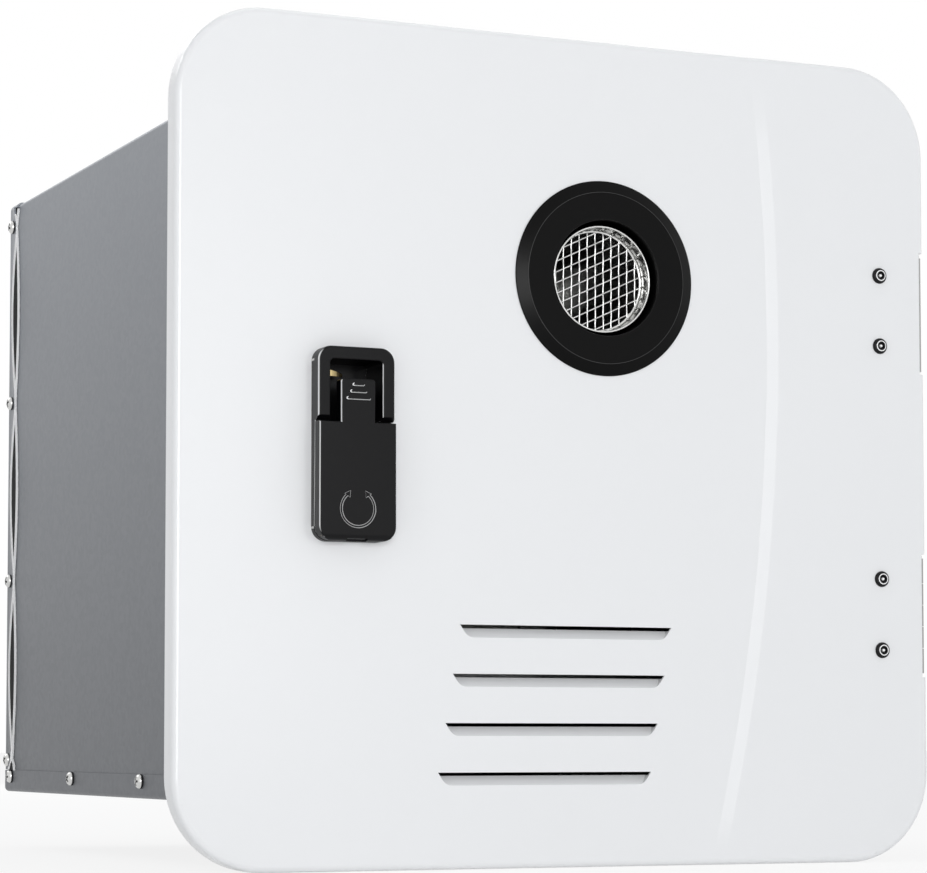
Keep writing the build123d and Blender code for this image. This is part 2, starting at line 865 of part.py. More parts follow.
# Latch base: a plate on the door, a raised frame round the finger recess and a body behind
leg_z = latch_split_z + latch_split_gap / 2
latch_low_z = latch_z - latch_height / 2
latch_high_z = latch_z + latch_height / 2
recess_high_z = latch_high_z - latch_wall
with BuildPart() as latch_base:
    with BuildSketch(rise(0)):
        with Locations((latch_x, latch_z)):
            RectangleRounded(latch_width, latch_height, latch_corner_r)
    extrude(amount=latch_base_rise)
    with BuildSketch(rise(0)):
        with Locations((latch_x, latch_z)):
            RectangleRounded(latch_width, latch_height, latch_corner_r)
        with Locations((latch_x, (latch_low_z + leg_z) / 2)):
            Rectangle(latch_width, leg_z - latch_low_z, mode=Mode.SUBTRACT)
    extrude(amount=latch_frame_rise)
    top_face = latch_base.faces().sort_by(Axis.Y)[0]
    chamfer(top_face.edges().sort_by(Axis.Z)[0], latch_end_chamfer)
    rims = latch_base.faces().sort_by(Axis.Y)[0].edges().sort_by(Axis.Z)[1:]
    fillet(rims, latch_edge_r)
    with BuildSketch(facing(door_face_y + latch_body_depth)):
        with Locations((latch_x, latch_z)):
            Rectangle(latch_body_width, latch_body_height)
    extrude(amount=latch_body_depth)
    with BuildSketch(facing(door_face_y + latch_cup_depth)):
        with Locations((latch_x, (latch_split_z + recess_high_z) / 2)):
            RectangleRounded(latch_width - 2 * latch_wall, recess_high_z - latch_split_z, 2 * latch_edge_r)
    extrude(amount=latch_cup_depth + latch_frame_rise + overrun, mode=Mode.SUBTRACT)
    with BuildSketch(rise(latch_base_rise - rotor_thickness - running_gap)):
        with Locations((latch_x, turn_axis_z)):
            Circle(rotor_r + running_gap)
    extrude(amount=rotor_thickness + 2 * running_gap, mode=Mode.SUBTRACT)
    with BuildSketch(facing(door_face_y + latch_body_depth + overrun)):
        with Locations((latch_x, turn_axis_z)):
            Circle(spindle_r + pin_clearance)
    extrude(amount=latch_body_depth + latch_base_rise + 2 * overrun, mode=Mode.SUBTRACT)
    with BuildSketch(rise(latch_screw_bite + running_gap)):
        with Locations(latch_screw_places):
            Circle(latch_screw_r + pin_clearance)
    extrude(amount=-latch_screw_bite - overrun, mode=Mode.SUBTRACT)
finish(latch_base, "latch_base")

# Steel plate that clamps the latch from behind the door
with BuildPart() as latch_backplate:
    with BuildSketch(facing(door_inner_y + latch_plate_thickness)):
        with Locations((latch_x, latch_z)):
            Rectangle(latch_width + latch_plate_margin, latch_height + latch_plate_margin)
            Rectangle(
                latch_body_width + 2 * running_gap, latch_body_height + 2 * running_gap, mode=Mode.SUBTRACT
            )
        with Locations(latch_screw_places):
            Circle(latch_screw_r + fixing_clearance, mode=Mode.SUBTRACT)
    extrude(amount=latch_plate_thickness)
finish(latch_backplate, "latch_backplate")

# Screws of the back plate
backplate_y = door_inner_y + latch_plate_thickness
with BuildPart() as latch_screws:
    with BuildSketch(facing(backplate_y)):
        with Locations(latch_screw_places):
            Circle(latch_screw_r)
    extrude(amount=backplate_y - door_face_y + latch_screw_bite)
    with BuildSketch(facing(backplate_y + latch_screw_head)):
        with Locations(latch_screw_places):
            Circle(latch_screw_head_r)
    extrude(amount=latch_screw_head)
finish(latch_screws, "latch_screws")

# Handle plate with its tongue, half round at its lower end about the lifting pin
pin_z = latch_low_z + handle_thickness / 2
pin_y = door_face_y - handle_front_rise + handle_thickness / 2
plate_high_z = latch_split_z - latch_split_gap / 2
slot_low_z = latch_low_z - overrun
slot_high_z = pin_z + lug_top_reach + lug_end_gap
with BuildPart() as latch_handle:
    with BuildSketch(along(latch_x - latch_width / 2)):
        with Locations((pin_y, (pin_z + tongue_top_z) / 2)):
            Rectangle(handle_thickness, tongue_top_z - pin_z)
        with Locations((pin_y, pin_z)):
            Circle(handle_thickness / 2)
    extrude(amount=latch_width)
    with BuildSketch(rise(0)):
        with Locations((latch_x, latch_z)):
            RectangleRounded(latch_width, latch_height, latch_corner_r)
        with Locations((latch_x, (plate_high_z + latch_high_z) / 2)):
            Rectangle(latch_width, latch_high_z - plate_high_z, mode=Mode.SUBTRACT)
        with Locations((latch_x, (plate_high_z - latch_corner_r + tongue_top_z) / 2)):
            RectangleRounded(tongue_width, tongue_top_z - plate_high_z + latch_corner_r, tongue_corner_r)
    extrude(amount=handle_front_rise + overrun, mode=Mode.INTERSECT)
    for number, width in enumerate(grip_bar_widths):
        with BuildSketch(rise(handle_front_rise)):
            with Locations((latch_x, grip_bar_top_z - number * grip_bar_pitch)):
                SlotOverall(width, grip_bar_height)
        extrude(amount=grip_bar_rise)
    with BuildSketch(rise(handle_front_rise)):
        with Locations((latch_x, turn_axis_z)):
            Circle(turn_mark_r + turn_mark_width / 2)
            Circle(turn_mark_r - turn_mark_width / 2, mode=Mode.SUBTRACT)
            half = radians(turn_mark_opening / 2)
            wedge = 2 * turn_mark_r
            Polygon(
                (0, 0),
                (-wedge * sin(half), wedge),
                (wedge * sin(half), wedge),
                align=None,
                mode=Mode.SUBTRACT,
            )
        for side in (-1, 1):
            tip_x = latch_x + side * turn_mark_r * sin(half)
            tip_z = turn_axis_z + turn_mark_r * cos(half)
            with Locations((tip_x, tip_z)):
                RegularPolygon(turn_mark_tip_r, 3, rotation=90 + side * turn_mark_opening / 2)
    extrude(amount=-turn_mark_depth, mode=Mode.SUBTRACT)
    with BuildSketch(rise(handle_front_rise - handle_skin)):
        with Locations((latch_x, (slot_low_z + slot_high_z) / 2)):
            Rectangle(lug_width + 2 * running_gap, slot_high_z - slot_low_z)
    extrude(amount=-handle_thickness - overrun, mode=Mode.SUBTRACT)
    with Locations(Location((latch_x, pin_y, pin_z), (0, 90, 0))):
        Cylinder(handle_pin_r + pin_clearance, handle_pin_length, mode=Mode.SUBTRACT)
finish(latch_handle, "latch_handle")

# Pin that the handle lifts about
with BuildPart() as handle_pin:
    with BuildSketch(along(latch_x - handle_pin_length / 2)):
        with Locations((pin_y, pin_z)):
            Circle(handle_pin_r)
    extrude(amount=handle_pin_length)
finish(handle_pin, "handle_pin")

# Spindle: the rotor under the handle, its lug round the pin, and the shaft to the cam
rotor_top_y = door_face_y - latch_base_rise
lug_high_z = pin_z + lug_top_reach
lug_low_z = turn_axis_z - rotor_r + lug_eye_r
with BuildPart() as latch_spindle:
    with BuildSketch(rise(latch_base_rise - rotor_thickness)):
        with Locations((latch_x, turn_axis_z)):
            Circle(rotor_r)
    extrude(amount=rotor_thickness)
    with BuildSketch(facing(spindle_reach_y)):
        with Locations((latch_x, turn_axis_z)):
            Circle(spindle_r)
    extrude(amount=spindle_reach_y - rotor_top_y)
    with BuildSketch(facing(spindle_reach_y + cam_thickness + cam_nut_height)):
        with Locations((latch_x, turn_axis_z)):
            Circle(spindle_end_r)
    extrude(amount=cam_thickness + cam_nut_height)
    with BuildSketch(along(latch_x - lug_width / 2)):
        with Locations((pin_y, pin_z)):
            Circle(lug_eye_r)
        with Locations((pin_y, (pin_z + lug_high_z) / 2)):
            Rectangle(2 * lug_eye_r, lug_high_z - pin_z)
        with Locations(((pin_y + rotor_top_y) / 2, (lug_low_z + lug_high_z) / 2)):
            Rectangle(rotor_top_y - pin_y, lug_high_z - lug_low_z)
    extrude(amount=lug_width)
    with Locations(Location((latch_x, pin_y, pin_z), (0, 90, 0))):
        Cylinder(handle_pin_r + pin_clearance, lug_width + overrun, mode=Mode.SUBTRACT)
finish(latch_spindle, "latch_spindle")

# Cam that hooks behind the keeper
with BuildPart() as latch_cam:
    with BuildSketch(facing(spindle_reach_y + cam_thickness)):
        with Locations((latch_x, turn_axis_z)):
            Circle(cam_width / 2)
        with Locations(((latch_x + cam_tip_x) / 2, turn_axis_z)):
            Rectangle(latch_x - cam_tip_x, cam_width)
        with Locations((latch_x, turn_axis_z)):
            Circle(spindle_end_r + pin_clearance, mode=Mode.SUBTRACT)
    extrude(amount=cam_thickness)
finish(latch_cam, "latch_cam")

# Nut that holds the cam
with BuildPart() as cam_nut:
    with BuildSketch(facing(spindle_reach_y + cam_thickness + cam_nut_height)):
        with Locations((latch_x, turn_axis_z)):
            RegularPolygon(cam_nut_r, 6)
            Circle(spindle_end_r + pin_clearance, mode=Mode.SUBTRACT)
    extrude(amount=cam_nut_height)
finish(cam_nut, "cam_nut")

# Exhaust tube from the fan to the door
tube_front_y = door_face_y + tube_recess
with BuildPart() as exhaust_tube:
    with BuildSketch(facing(fan_outlet_y)):
        with Locations((exhaust_x, exhaust_z)):
            Circle(tube_r)
            Circle(tube_r - tube_wall, mode=Mode.SUBTRACT)
    extrude(amount=fan_outlet_y - tube_front_y)
finish(exhaust_tube, "exhaust_tube")

# Wire guard in the tube: upright wires and wires that rise to the right
guard_r = tube_r - tube_wall - pin_clearance
guard_tilt = radians(guard_slope)
half_gap_x = (guard_pitch_x - guard_wire) / 2
half_gap_z = (guard_pitch_z - guard_wire / cos(guard_tilt)) / 2
lean = sin(guard_tilt) / cos(guard_tilt)
columns = int(guard_r / guard_pitch_x) + 1
rows = int(2 * guard_r / guard_pitch_z) + 1
gap_places = [
    (exhaust_x + column * guard_pitch_x, exhaust_z + column * guard_pitch_x * lean + row * guard_pitch_z)
    for column in range(-columns, columns + 1)
    for row in range(-rows, rows + 1)
]
inside_rim = guard_r - guard_rim
gap_places = [
    place
    for place in gap_places
    if ((place[0] - exhaust_x) ** 2 + (place[1] - exhaust_z) ** 2) ** 0.5 < inside_rim + guard_wire
]
with BuildPart() as exhaust_guard:
    with BuildSketch(facing(tube_front_y + guard_recess + guard_thickness)):
        with Locations((exhaust_x, exhaust_z)):
            Circle(guard_r)
        with Locations((exhaust_x, exhaust_z)):
            Circle(inside_rim, mode=Mode.SUBTRACT)
    extrude(amount=guard_thickness)
    with BuildSketch(facing(tube_front_y + guard_recess + guard_thickness)) as net:
        with Locations((exhaust_x, exhaust_z)):
            Circle(inside_rim)
        with Locations(gap_places):
            Polygon(
                (-half_gap_x, -half_gap_z - half_gap_x * lean),
                (half_gap_x, -half_gap_z + half_gap_x * lean),
                (half_gap_x, half_gap_z + half_gap_x * lean),
                (-half_gap_x, half_gap_z - half_gap_x * lean),
                align=None,
                mode=Mode.SUBTRACT,
            )
    extrude(amount=guard_thickness)
finish(exhaust_guard, "exhaust_guard")

# Fan scroll: its radius grows by quarters from the cut-off round to the outlet
scroll_end_r = exhaust_x + outlet_width / 2 - fan_x
scroll_radii = [scroll_end_r - (3 - quarter) * scroll_growth for quarter in range(4)]
fan_low_z = exhaust_z - fan_height / 2
fan_high_z = exhaust_z + fan_height / 2


def scroll_point(quarter, inset):
    """Point of the scroll at a number of quarter turns from its front, going round by the left."""
    whole = min(int(quarter), 2)
    radius = scroll_radii[whole] + (quarter - whole) * scroll_growth - inset
    angle = radians(-90 - 90 * quarter)
    return (fan_x + radius * cos(angle), fan_y + radius * sin(angle))


def scroll_outline(inset):
    """Outline of the scroll and its outlet, drawn in by the inset."""
    left = exhaust_x - outlet_width / 2 + inset
    front = fan_outlet_y + inset
    meeting = fan_y - ((scroll_radii[0] - inset) ** 2 - (left - fan_x) ** 2) ** 0.5
    with BuildSketch() as outline:
        with BuildLine():
            for quarter in range(3):
                ends = [scroll_point(quarter + part, inset) for part in (0, 0.5, 1)]
                ThreePointArc(*ends)
            Polyline(
                scroll_point(3, inset),
                (fan_x + scroll_end_r - inset, front),
                (left, front),
                (left, meeting),
                scroll_point(0, inset),
            )
        make_face()
    return outline.sketch


# Fan scroll with its inlet below, its outlet in front and a socket for the exhaust tube
with BuildPart() as fan_scroll:
    with BuildSketch(Plane.XY.offset(fan_low_z)):
        add(scroll_outline(0))
    extrude(amount=fan_height)
    with BuildSketch(Plane.XY.offset(fan_low_z + fan_sheet)):
        add(scroll_outline(fan_sheet))
    extrude(amount=fan_height, mode=Mode.SUBTRACT)
    with BuildSketch(Plane.XY.offset(fan_low_z - overrun)):
        with Locations((fan_x, fan_y)):
            Circle(fan_inlet_r)
    extrude(amount=fan_sheet + 2 * overrun, mode=Mode.SUBTRACT)
    with BuildSketch(facing(fan_outlet_y)):
        with Locations((exhaust_x, exhaust_z)):
            Circle(tube_r + pin_clearance + fan_sheet)
    extrude(amount=tube_socket)
    with BuildSketch(facing(fan_outlet_y + fan_sheet + overrun)):
        with Locations((exhaust_x, exhaust_z)):
            Circle(tube_r - tube_wall)
    extrude(amount=fan_sheet + overrun, mode=Mode.SUBTRACT)
    with BuildSketch(facing(fan_outlet_y)):
        with Locations((exhaust_x, exhaust_z)):
            Circle(tube_r + pin_clearance)
    extrude(amount=tube_socket + overrun, mode=Mode.SUBTRACT)
finish(fan_scroll, "fan_scroll")

# Lid of the scroll, which carries the motor
with BuildPart() as fan_cover:
    with BuildSketch(Plane.XY.offset(fan_high_z)):
        add(scroll_outline(0))
        with Locations((fan_x, fan_y)):
            Circle(shaft_r + running_gap, mode=Mode.SUBTRACT)
    extrude(amount=fan_sheet)
finish(fan_cover, "fan_cover")

# Fan wheel: a plate with a hub, forward blades and a ring at the inlet side
wheel_low_z = fan_low_z + fan_sheet + wheel_lift
wheel_high_z = wheel_low_z + wheel_height
with BuildPart() as fan_wheel:
    with BuildSketch(Plane.XY.offset(wheel_high_z - wheel_plate)):
        with Locations((fan_x, fan_y)):
            Circle(wheel_r)
    extrude(amount=wheel_plate)
    with BuildSketch(Plane.XY.offset(wheel_low_z)):
        with Locations((fan_x, fan_y)):
            Circle(wheel_r)
            Circle(wheel_r - blade_length, mode=Mode.SUBTRACT)
    extrude(amount=wheel_plate)
    with BuildSketch(Plane.XY.offset(wheel_low_z)):
        with Locations((fan_x, fan_y)):
            with PolarLocations(wheel_r - blade_length / 2, blade_count):
                Rectangle(blade_length, blade_thickness, rotation=blade_angle)
    extrude(amount=wheel_height)
    with BuildSketch(Plane.XY.offset(wheel_high_z - wheel_hub_height)):
        with Locations((fan_x, fan_y)):
            Circle(wheel_hub_r)
    extrude(amount=wheel_hub_height)
    with BuildSketch(Plane.XY.offset(wheel_high_z - wheel_hub_height - overrun)):
        with Locations((fan_x, fan_y)):
            Circle(shaft_r + pin_clearance)
    extrude(amount=wheel_hub_height + 2 * overrun, mode=Mode.SUBTRACT)
finish(fan_wheel, "fan_wheel")

# Fan shaft, from the wheel's hub into the motor
cover_high_z = fan_high_z + fan_sheet
with BuildPart() as fan_shaft:
    with BuildSketch(Plane.XY.offset(wheel_high_z - wheel_hub_height)):
        with Locations((fan_x, fan_y)):
            Circle(shaft_r)
    extrude(amount=cover_high_z + motor_bore - running_gap - wheel_high_z + wheel_hub_height)
finish(fan_shaft, "fan_shaft")

# Fan motor with its mounting flange
with BuildPart() as fan_motor:
    with BuildSketch(Plane.XY.offset(cover_high_z)):
        with Locations((fan_x, fan_y)):
            Circle(motor_flange_r)
    extrude(amount=motor_flange)
    with BuildSketch(Plane.XY.offset(cover_high_z)):
        with Locations((fan_x, fan_y)):
            Circle(motor_r)
    extrude(amount=motor_height)
    fillet(fan_motor.edges().sort_by(Axis.Z)[-1], motor_edge_r)
    with BuildSketch(Plane.XY.offset(cover_high_z - overrun)):
        with Locations((fan_x, fan_y)):
            Circle(shaft_r + pin_clearance)
    extrude(amount=motor_bore + overrun, mode=Mode.SUBTRACT)
finish(fan_motor, "fan_motor")

# The copper sleeve's corners are rounded to the coil's bends
engine_corner_r = coil_bend_r - coil_r - coil_gap
engine_inner_r = engine_corner_r - engine_sheet
engine_inner_width = engine_width - 2 * engine_sheet
engine_inner_depth = engine_depth - 2 * engine_sheet

# Flue hood between the heat exchanger and the fan
with BuildPart() as flue_hood:
    with BuildSketch(Plane.XY.offset(core_high_z)):
        with Locations((engine_x, engine_y)):
            RectangleRounded(engine_width, engine_depth, engine_corner_r)
    with BuildSketch(Plane.XY.offset(fan_low_z)):
        with Locations((fan_x, fan_y)):
            RectangleRounded(hood_top, hood_top, engine_corner_r)
    loft()
    with BuildSketch(Plane.XY.offset(core_high_z)):
        with Locations((engine_x, engine_y)):
            RectangleRounded(engine_inner_width, engine_inner_depth, engine_inner_r)
    with BuildSketch(Plane.XY.offset(fan_low_z)):
        with Locations((fan_x, fan_y)):
            RectangleRounded(hood_top - 2 * engine_sheet, hood_top - 2 * engine_sheet, engine_inner_r)
    loft(mode=Mode.SUBTRACT)
finish(flue_hood, "flue_hood")

# Heat exchanger: a copper sleeve full of fins
fin_step = (engine_inner_depth - 2 * fin_margin) / (fin_count - 1)
fin_first_y = engine_y - engine_inner_depth / 2 + fin_margin
fin_places = [(engine_x, fin_first_y + number * fin_step) for number in range(fin_count)]
with BuildPart() as heat_exchanger:
    with BuildSketch(Plane.XY.offset(box_high_z)):
        with Locations((engine_x, engine_y)):
            RectangleRounded(engine_width, engine_depth, engine_corner_r)
            RectangleRounded(engine_inner_width, engine_inner_depth, engine_inner_r, mode=Mode.SUBTRACT)
    extrude(amount=core_high_z - box_high_z)
    with BuildSketch(Plane.XY.offset(box_high_z + fin_margin)):
        with Locations(fin_places):
            Rectangle(engine_width - engine_sheet, fin_thickness)
    extrude(amount=core_high_z - box_high_z - 2 * fin_margin)
finish(heat_exchanger, "heat_exchanger")

# Water coil: up from the brass block, round the heat exchanger and back to the hot outlet
coil_half_x = engine_width / 2 + coil_gap + coil_r
coil_half_y = engine_depth / 2 + coil_gap + coil_r
coil_front_y = engine_y - coil_half_y
coil_rear_y = engine_y + coil_half_y
block_low_z = pan_top_z
block_high_z = block_low_z + block_height
fitting_face_y = rear_inner_y - bulkhead_thickness
coil_points = [(water_x, coil_front_y, block_high_z), (water_x, coil_front_y, coil_low_z)]
corners = [
    (engine_x + coil_half_x, coil_front_y),
    (engine_x + coil_half_x, coil_rear_y),
    (engine_x - coil_half_x, coil_rear_y),
    (engine_x - coil_half_x, coil_front_y),
]
for quarter in range(4 * coil_turns - 2):
    x, y = corners[quarter % 4]
    coil_points.append((x, y, coil_low_z + (quarter + 1) * coil_pitch / 4))
coil_end_z = coil_points[-1][2]
coil_points.append((water_x, coil_rear_y, coil_end_z))
coil_points.append((water_x, coil_rear_y, hot_z))
coil_points.append((water_x, fitting_face_y, hot_z))
with BuildPart() as water_coil:
    with BuildLine():
        coil_path = FilletPolyline(*coil_points, radius=coil_bend_r)
    with BuildSketch(Plane.XY.offset(block_high_z)):
        with Locations((water_x, coil_front_y)):
            Circle(coil_r)
    sweep(path=coil_path)
finish(water_coil, "water_coil")

# Combustion box, open at the top, with holes for the nozzles and the electrodes
engine_front_y = engine_y - engine_depth / 2
burner_length = engine_inner_depth - 2 * burner_end_gap
burner_pitch = engine_inner_width / burner_count
burner_first_x = engine_x - (burner_count - 1) / 2 * burner_pitch
burner_places = [burner_first_x + number * burner_pitch for number in range(burner_count)]
electrode_places = [(engine_x + sight_inset + side * electrode_spacing / 2, cover_z) for side in (-1, 1)]
with BuildPart() as combustion_box:
    with BuildSketch(Plane.XY.offset(box_low_z)):
        with Locations((engine_x, engine_y)):
            RectangleRounded(engine_width, engine_depth, engine_corner_r)
    extrude(amount=box_high_z - box_low_z)
    with BuildSketch(Plane.XY.offset(box_low_z + engine_sheet)):
        with Locations((engine_x, engine_y)):
            RectangleRounded(engine_inner_width, engine_inner_depth, engine_inner_r)
    extrude(amount=box_high_z - box_low_z, mode=Mode.SUBTRACT)
    with BuildSketch(facing(engine_front_y + engine_sheet + overrun)):
        with Locations([(x, manifold_z) for x in burner_places]):
            Circle(nozzle_hole_r)
        with Locations(electrode_places):
            Circle(electrode_wire_r + pin_clearance)
    extrude(amount=engine_sheet + 2 * overrun, mode=Mode.SUBTRACT)
finish(combustion_box, "combustion_box")

# Burner bars on the floor of the box, slotted along the top
with BuildPart() as burner_bars:
    with BuildSketch(Plane.XY.offset(box_low_z + engine_sheet)):
        with Locations([(x, engine_y) for x in burner_places]):
            Rectangle(burner_width, burner_length)
    extrude(amount=burner_height)
    with BuildSketch(Plane.XY.offset(box_low_z + engine_sheet + burner_height)):
        with Locations([(x, engine_y) for x in burner_places]):
            with GridLocations(0, burner_slot_pitch, 1, burner_slot_count):
                Rectangle(burner_width - 2 * burner_slot, burner_slot)
    extrude(amount=-burner_height / 2, mode=Mode.SUBTRACT)
finish(burner_bars, "burner_bars")

# Cover plate of the combustion box, with a sight glass ring and four screws
cover_screw_x = cover_width / 2 - cover_corner_r
cover_screw_z = cover_height / 2 - cover_corner_r
cover_screw_places = [
    (engine_x + side * cover_screw_x, cover_z + end * cover_screw_z) for side in (-1, 1) for end in (-1, 1)
]
with BuildPart() as burner_cover:
    with BuildSketch(facing(engine_front_y)):
        with Locations((engine_x, cover_z)):
            RectangleRounded(cover_width, cover_height, cover_corner_r)
        with Locations(electrode_places):
            Circle(electrode_r + pin_clearance, mode=Mode.SUBTRACT)
    extrude(amount=cover_thickness)
    with BuildSketch(facing(engine_front_y - cover_thickness)):
        with Locations((engine_x - sight_inset, cover_z)):
            Circle(sight_r)
            Circle(sight_r - sight_ring, mode=Mode.SUBTRACT)
        with Locations(cover_screw_places):
            RegularPolygon(cover_screw_r, 6)
    extrude(amount=cover_thickness)
finish(burner_cover, "burner_cover")

# Spark and flame-sensing electrodes: ceramic bodies with a collar, wires into the box
with BuildPart() as ignition_electrodes:
    with BuildSketch(facing(engine_front_y)):
        with Locations(electrode_places):
            Circle(electrode_r)
    extrude(amount=electrode_length)
    with BuildSketch(facing(engine_front_y - cover_thickness)):
        with Locations(electrode_places):
            Circle(electrode_flange_r)
    extrude(amount=cover_thickness)
    with BuildSketch(facing(engine_front_y + electrode_reach)):
        with Locations(electrode_places):
            Circle(electrode_wire_r)
    extrude(amount=electrode_reach)
finish(ignition_electrodes, "ignition_electrodes")

# Brackets on the pan: two channels under the combustion box and one bridge under the valve
stand_height = box_low_z - pan_top_z
with BuildPart() as support_brackets:
    for side in (-1, 1):
        with BuildSketch(Plane.XY.offset(pan_top_z)):
            with Locations((engine_x + side * (engine_width - stand_sheet) / 2, engine_y)):
                Rectangle(stand_sheet, engine_depth)
        extrude(amount=stand_height)
        with BuildSketch(Plane.XY.offset(pan_top_z)):
            with Locations((engine_x + side * (engine_width - stand_foot) / 2, engine_y)):
                Rectangle(stand_foot, engine_depth)
        extrude(amount=stand_sheet)
        with BuildSketch(Plane.XY.offset(box_low_z - stand_sheet)):
            with Locations((engine_x + side * (engine_width - stand_foot) / 2, engine_y)):
                Rectangle(stand_foot, engine_depth)
        extrude(amount=stand_sheet)
    with BuildSketch(facing(valve_y + valve_depth / 2)):
        with BuildLine():
            left = valve_x - valve_width / 2 + stand_sheet / 2
            right = valve_x + valve_width / 2 - stand_sheet / 2
            FilletPolyline(
                (left, pan_top_z),
                (left, valve_low_z - stand_sheet / 2),
                (right, valve_low_z - stand_sheet / 2),
                (right, pan_top_z),
                radius=stand_sheet,
            )
        trace(line_width=stand_sheet)
    extrude(amount=valve_depth)
finish(support_brackets, "support_brackets")

# Gas manifold with a nozzle for each burner bar
manifold_y = engine_front_y - nozzle_length - manifold_size / 2
manifold_low_x = burner_places[0] - manifold_size
valve_left_x = valve_x - valve_width / 2
with BuildPart() as gas_manifold:
    with BuildSketch(Plane.XY.offset(manifold_z - manifold_size / 2)):
        with Locations(((manifold_low_x + valve_left_x) / 2, manifold_y)):
            Rectangle(valve_left_x - manifold_low_x, manifold_size)
    extrude(amount=manifold_size)
    with BuildSketch(facing(engine_front_y)):
        with Locations([(x, manifold_z) for x in burner_places]):
            Circle(nozzle_r)
    extrude(amount=nozzle_length)
finish(gas_manifold, "gas_manifold")

# Gas valve block
valve_high_z = valve_low_z + valve_height
valve_mid_z = valve_low_z + valve_height / 2
with BuildPart() as gas_valve:
    with BuildSketch(Plane.XY.offset(valve_low_z)):
        with Locations((valve_x, valve_y)):
            Rectangle(valve_width, valve_depth)
    extrude(amount=valve_height)
    fillet(gas_valve.edges().filter_by(Axis.Z), valve_edge_r)
finish(gas_valve, "gas_valve")

# Solenoid coils on the valve, hollow for their plungers
solenoid_places = [(valve_x + side * solenoid_spacing / 2, valve_y) for side in (-1, 1)]
with BuildPart() as gas_solenoids:
    with BuildSketch(Plane.XY.offset(valve_high_z)):
        with Locations(solenoid_places):
            Circle(solenoid_r)
    extrude(amount=solenoid_height)
    with BuildSketch(Plane.XY.offset(valve_high_z)):
        with Locations(solenoid_places):
            Circle(plunger_r + pin_clearance)
    extrude(amount=plunger_length + plunger_stroke + 2 * running_gap, mode=Mode.SUBTRACT)
finish(gas_solenoids, "gas_solenoids")

# Plungers that the coils lift together
with BuildPart() as gas_plungers:
    with BuildSketch(Plane.XY.offset(valve_high_z + running_gap)):
        with Locations(solenoid_places):
            Circle(plunger_r)
    extrude(amount=plunger_length)
finish(gas_plungers, "gas_plungers")

# Gas inlet: a fitting in the rear panel with its pipe and the nut at the valve
with BuildPart() as gas_inlet:
    with BuildSketch(facing(rear_inner_y)):
        with Locations((valve_x, valve_mid_z)):
            RegularPolygon(bulkhead_r, 6)
    extrude(amount=bulkhead_thickness)
    with BuildSketch(facing(housing_back_y + neck_rise)):
        with Locations((valve_x, valve_mid_z)):
            Circle(flare_r + neck_margin)
    extrude(amount=neck_rise + 2 * sheet)
    with BuildSketch(facing(housing_back_y + flare_length)):
        with Locations((valve_x, valve_mid_z)):
            Circle(flare_r)
    extrude(amount=flare_length)
    with BuildSketch(facing(housing_back_y + flare_length + overrun)):
        with Locations((valve_x, valve_mid_z)):
            Circle(gas_bore_r)
    extrude(amount=flare_length + overrun, mode=Mode.SUBTRACT)
    with BuildSketch(facing(fitting_face_y)):
        with Locations((valve_x, valve_mid_z)):
            Circle(gas_pipe_r)
    extrude(amount=fitting_face_y - valve_y - valve_depth / 2)
    with BuildSketch(facing(valve_y + valve_depth / 2 + gas_nut_length)):
        with Locations((valve_x, valve_mid_z)):
            RegularPolygon(gas_nut_r, 6)
    extrude(amount=gas_nut_length)
finish(gas_inlet, "gas_inlet")

# Cold and hot water fittings through the rear panel
water_places = [(water_x, cold_z), (water_x, hot_z)]
with BuildPart() as water_fittings:
    with BuildSketch(facing(rear_inner_y)):
        with Locations(water_places):
            RegularPolygon(bulkhead_r, 6)
    extrude(amount=bulkhead_thickness)
    with BuildSketch(facing(housing_back_y + neck_rise)):
        with Locations(water_places):
            Circle(thread_r + neck_margin)
    extrude(amount=neck_rise + 2 * sheet)
    with BuildSketch(facing(housing_back_y + thread_length)):
        with Locations(water_places):
            Circle(thread_r)
    extrude(amount=thread_length)
    with BuildSketch(facing(housing_back_y + thread_length + overrun)):
        with Locations(water_places):
            Circle(thread_bore_r)
    extrude(amount=thread_length + overrun, mode=Mode.SUBTRACT)
finish(water_fittings, "water_fittings")

# Brass block on the pan, which joins the cold pipe, the coil, the drain and the relief valve
block_front_y = coil_front_y - block_depth / 2
block_rear_y = coil_front_y + block_depth / 2
drain_z = cold_z - drain_knob_r
relief_z = block_high_z - relief_r - block_edge_r
with BuildPart() as water_block:
    with BuildSketch(Plane.XY.offset(block_low_z)):
        with Locations((water_x, coil_front_y)):
            Rectangle(block_width, block_depth)
    extrude(amount=block_height)
    fillet(water_block.edges().filter_by(Axis.Z), block_edge_r)
    with BuildSketch(facing(block_front_y)):
        with Locations((water_x, drain_z)):
            Circle(drain_neck_r)
    extrude(amount=drain_neck)
    with BuildSketch(facing(block_front_y + drain_neck)):
        with Locations((water_x, drain_z)):
            Circle(drain_shaft_r + pin_clearance)
    extrude(amount=2 * drain_neck + overrun, mode=Mode.SUBTRACT)
finish(water_block, "water_block")

# Drain knob with ribs for the fingers and a stem in the block
knob_back_y = block_front_y - drain_neck - running_gap
with BuildPart() as drain_knob:
    with BuildSketch(facing(knob_back_y)):
        with Locations((water_x, drain_z)):
            Circle(drain_knob_r - drain_rib_r)
            with PolarLocations(drain_knob_r - drain_rib_r, drain_knob_ribs):
                Circle(drain_rib_r)
    extrude(amount=drain_knob_length)
    with BuildSketch(facing(block_front_y + drain_neck - running_gap)):
        with Locations((water_x, drain_z)):
            Circle(drain_shaft_r)
    extrude(amount=2 * drain_neck)
finish(drain_knob, "drain_knob")

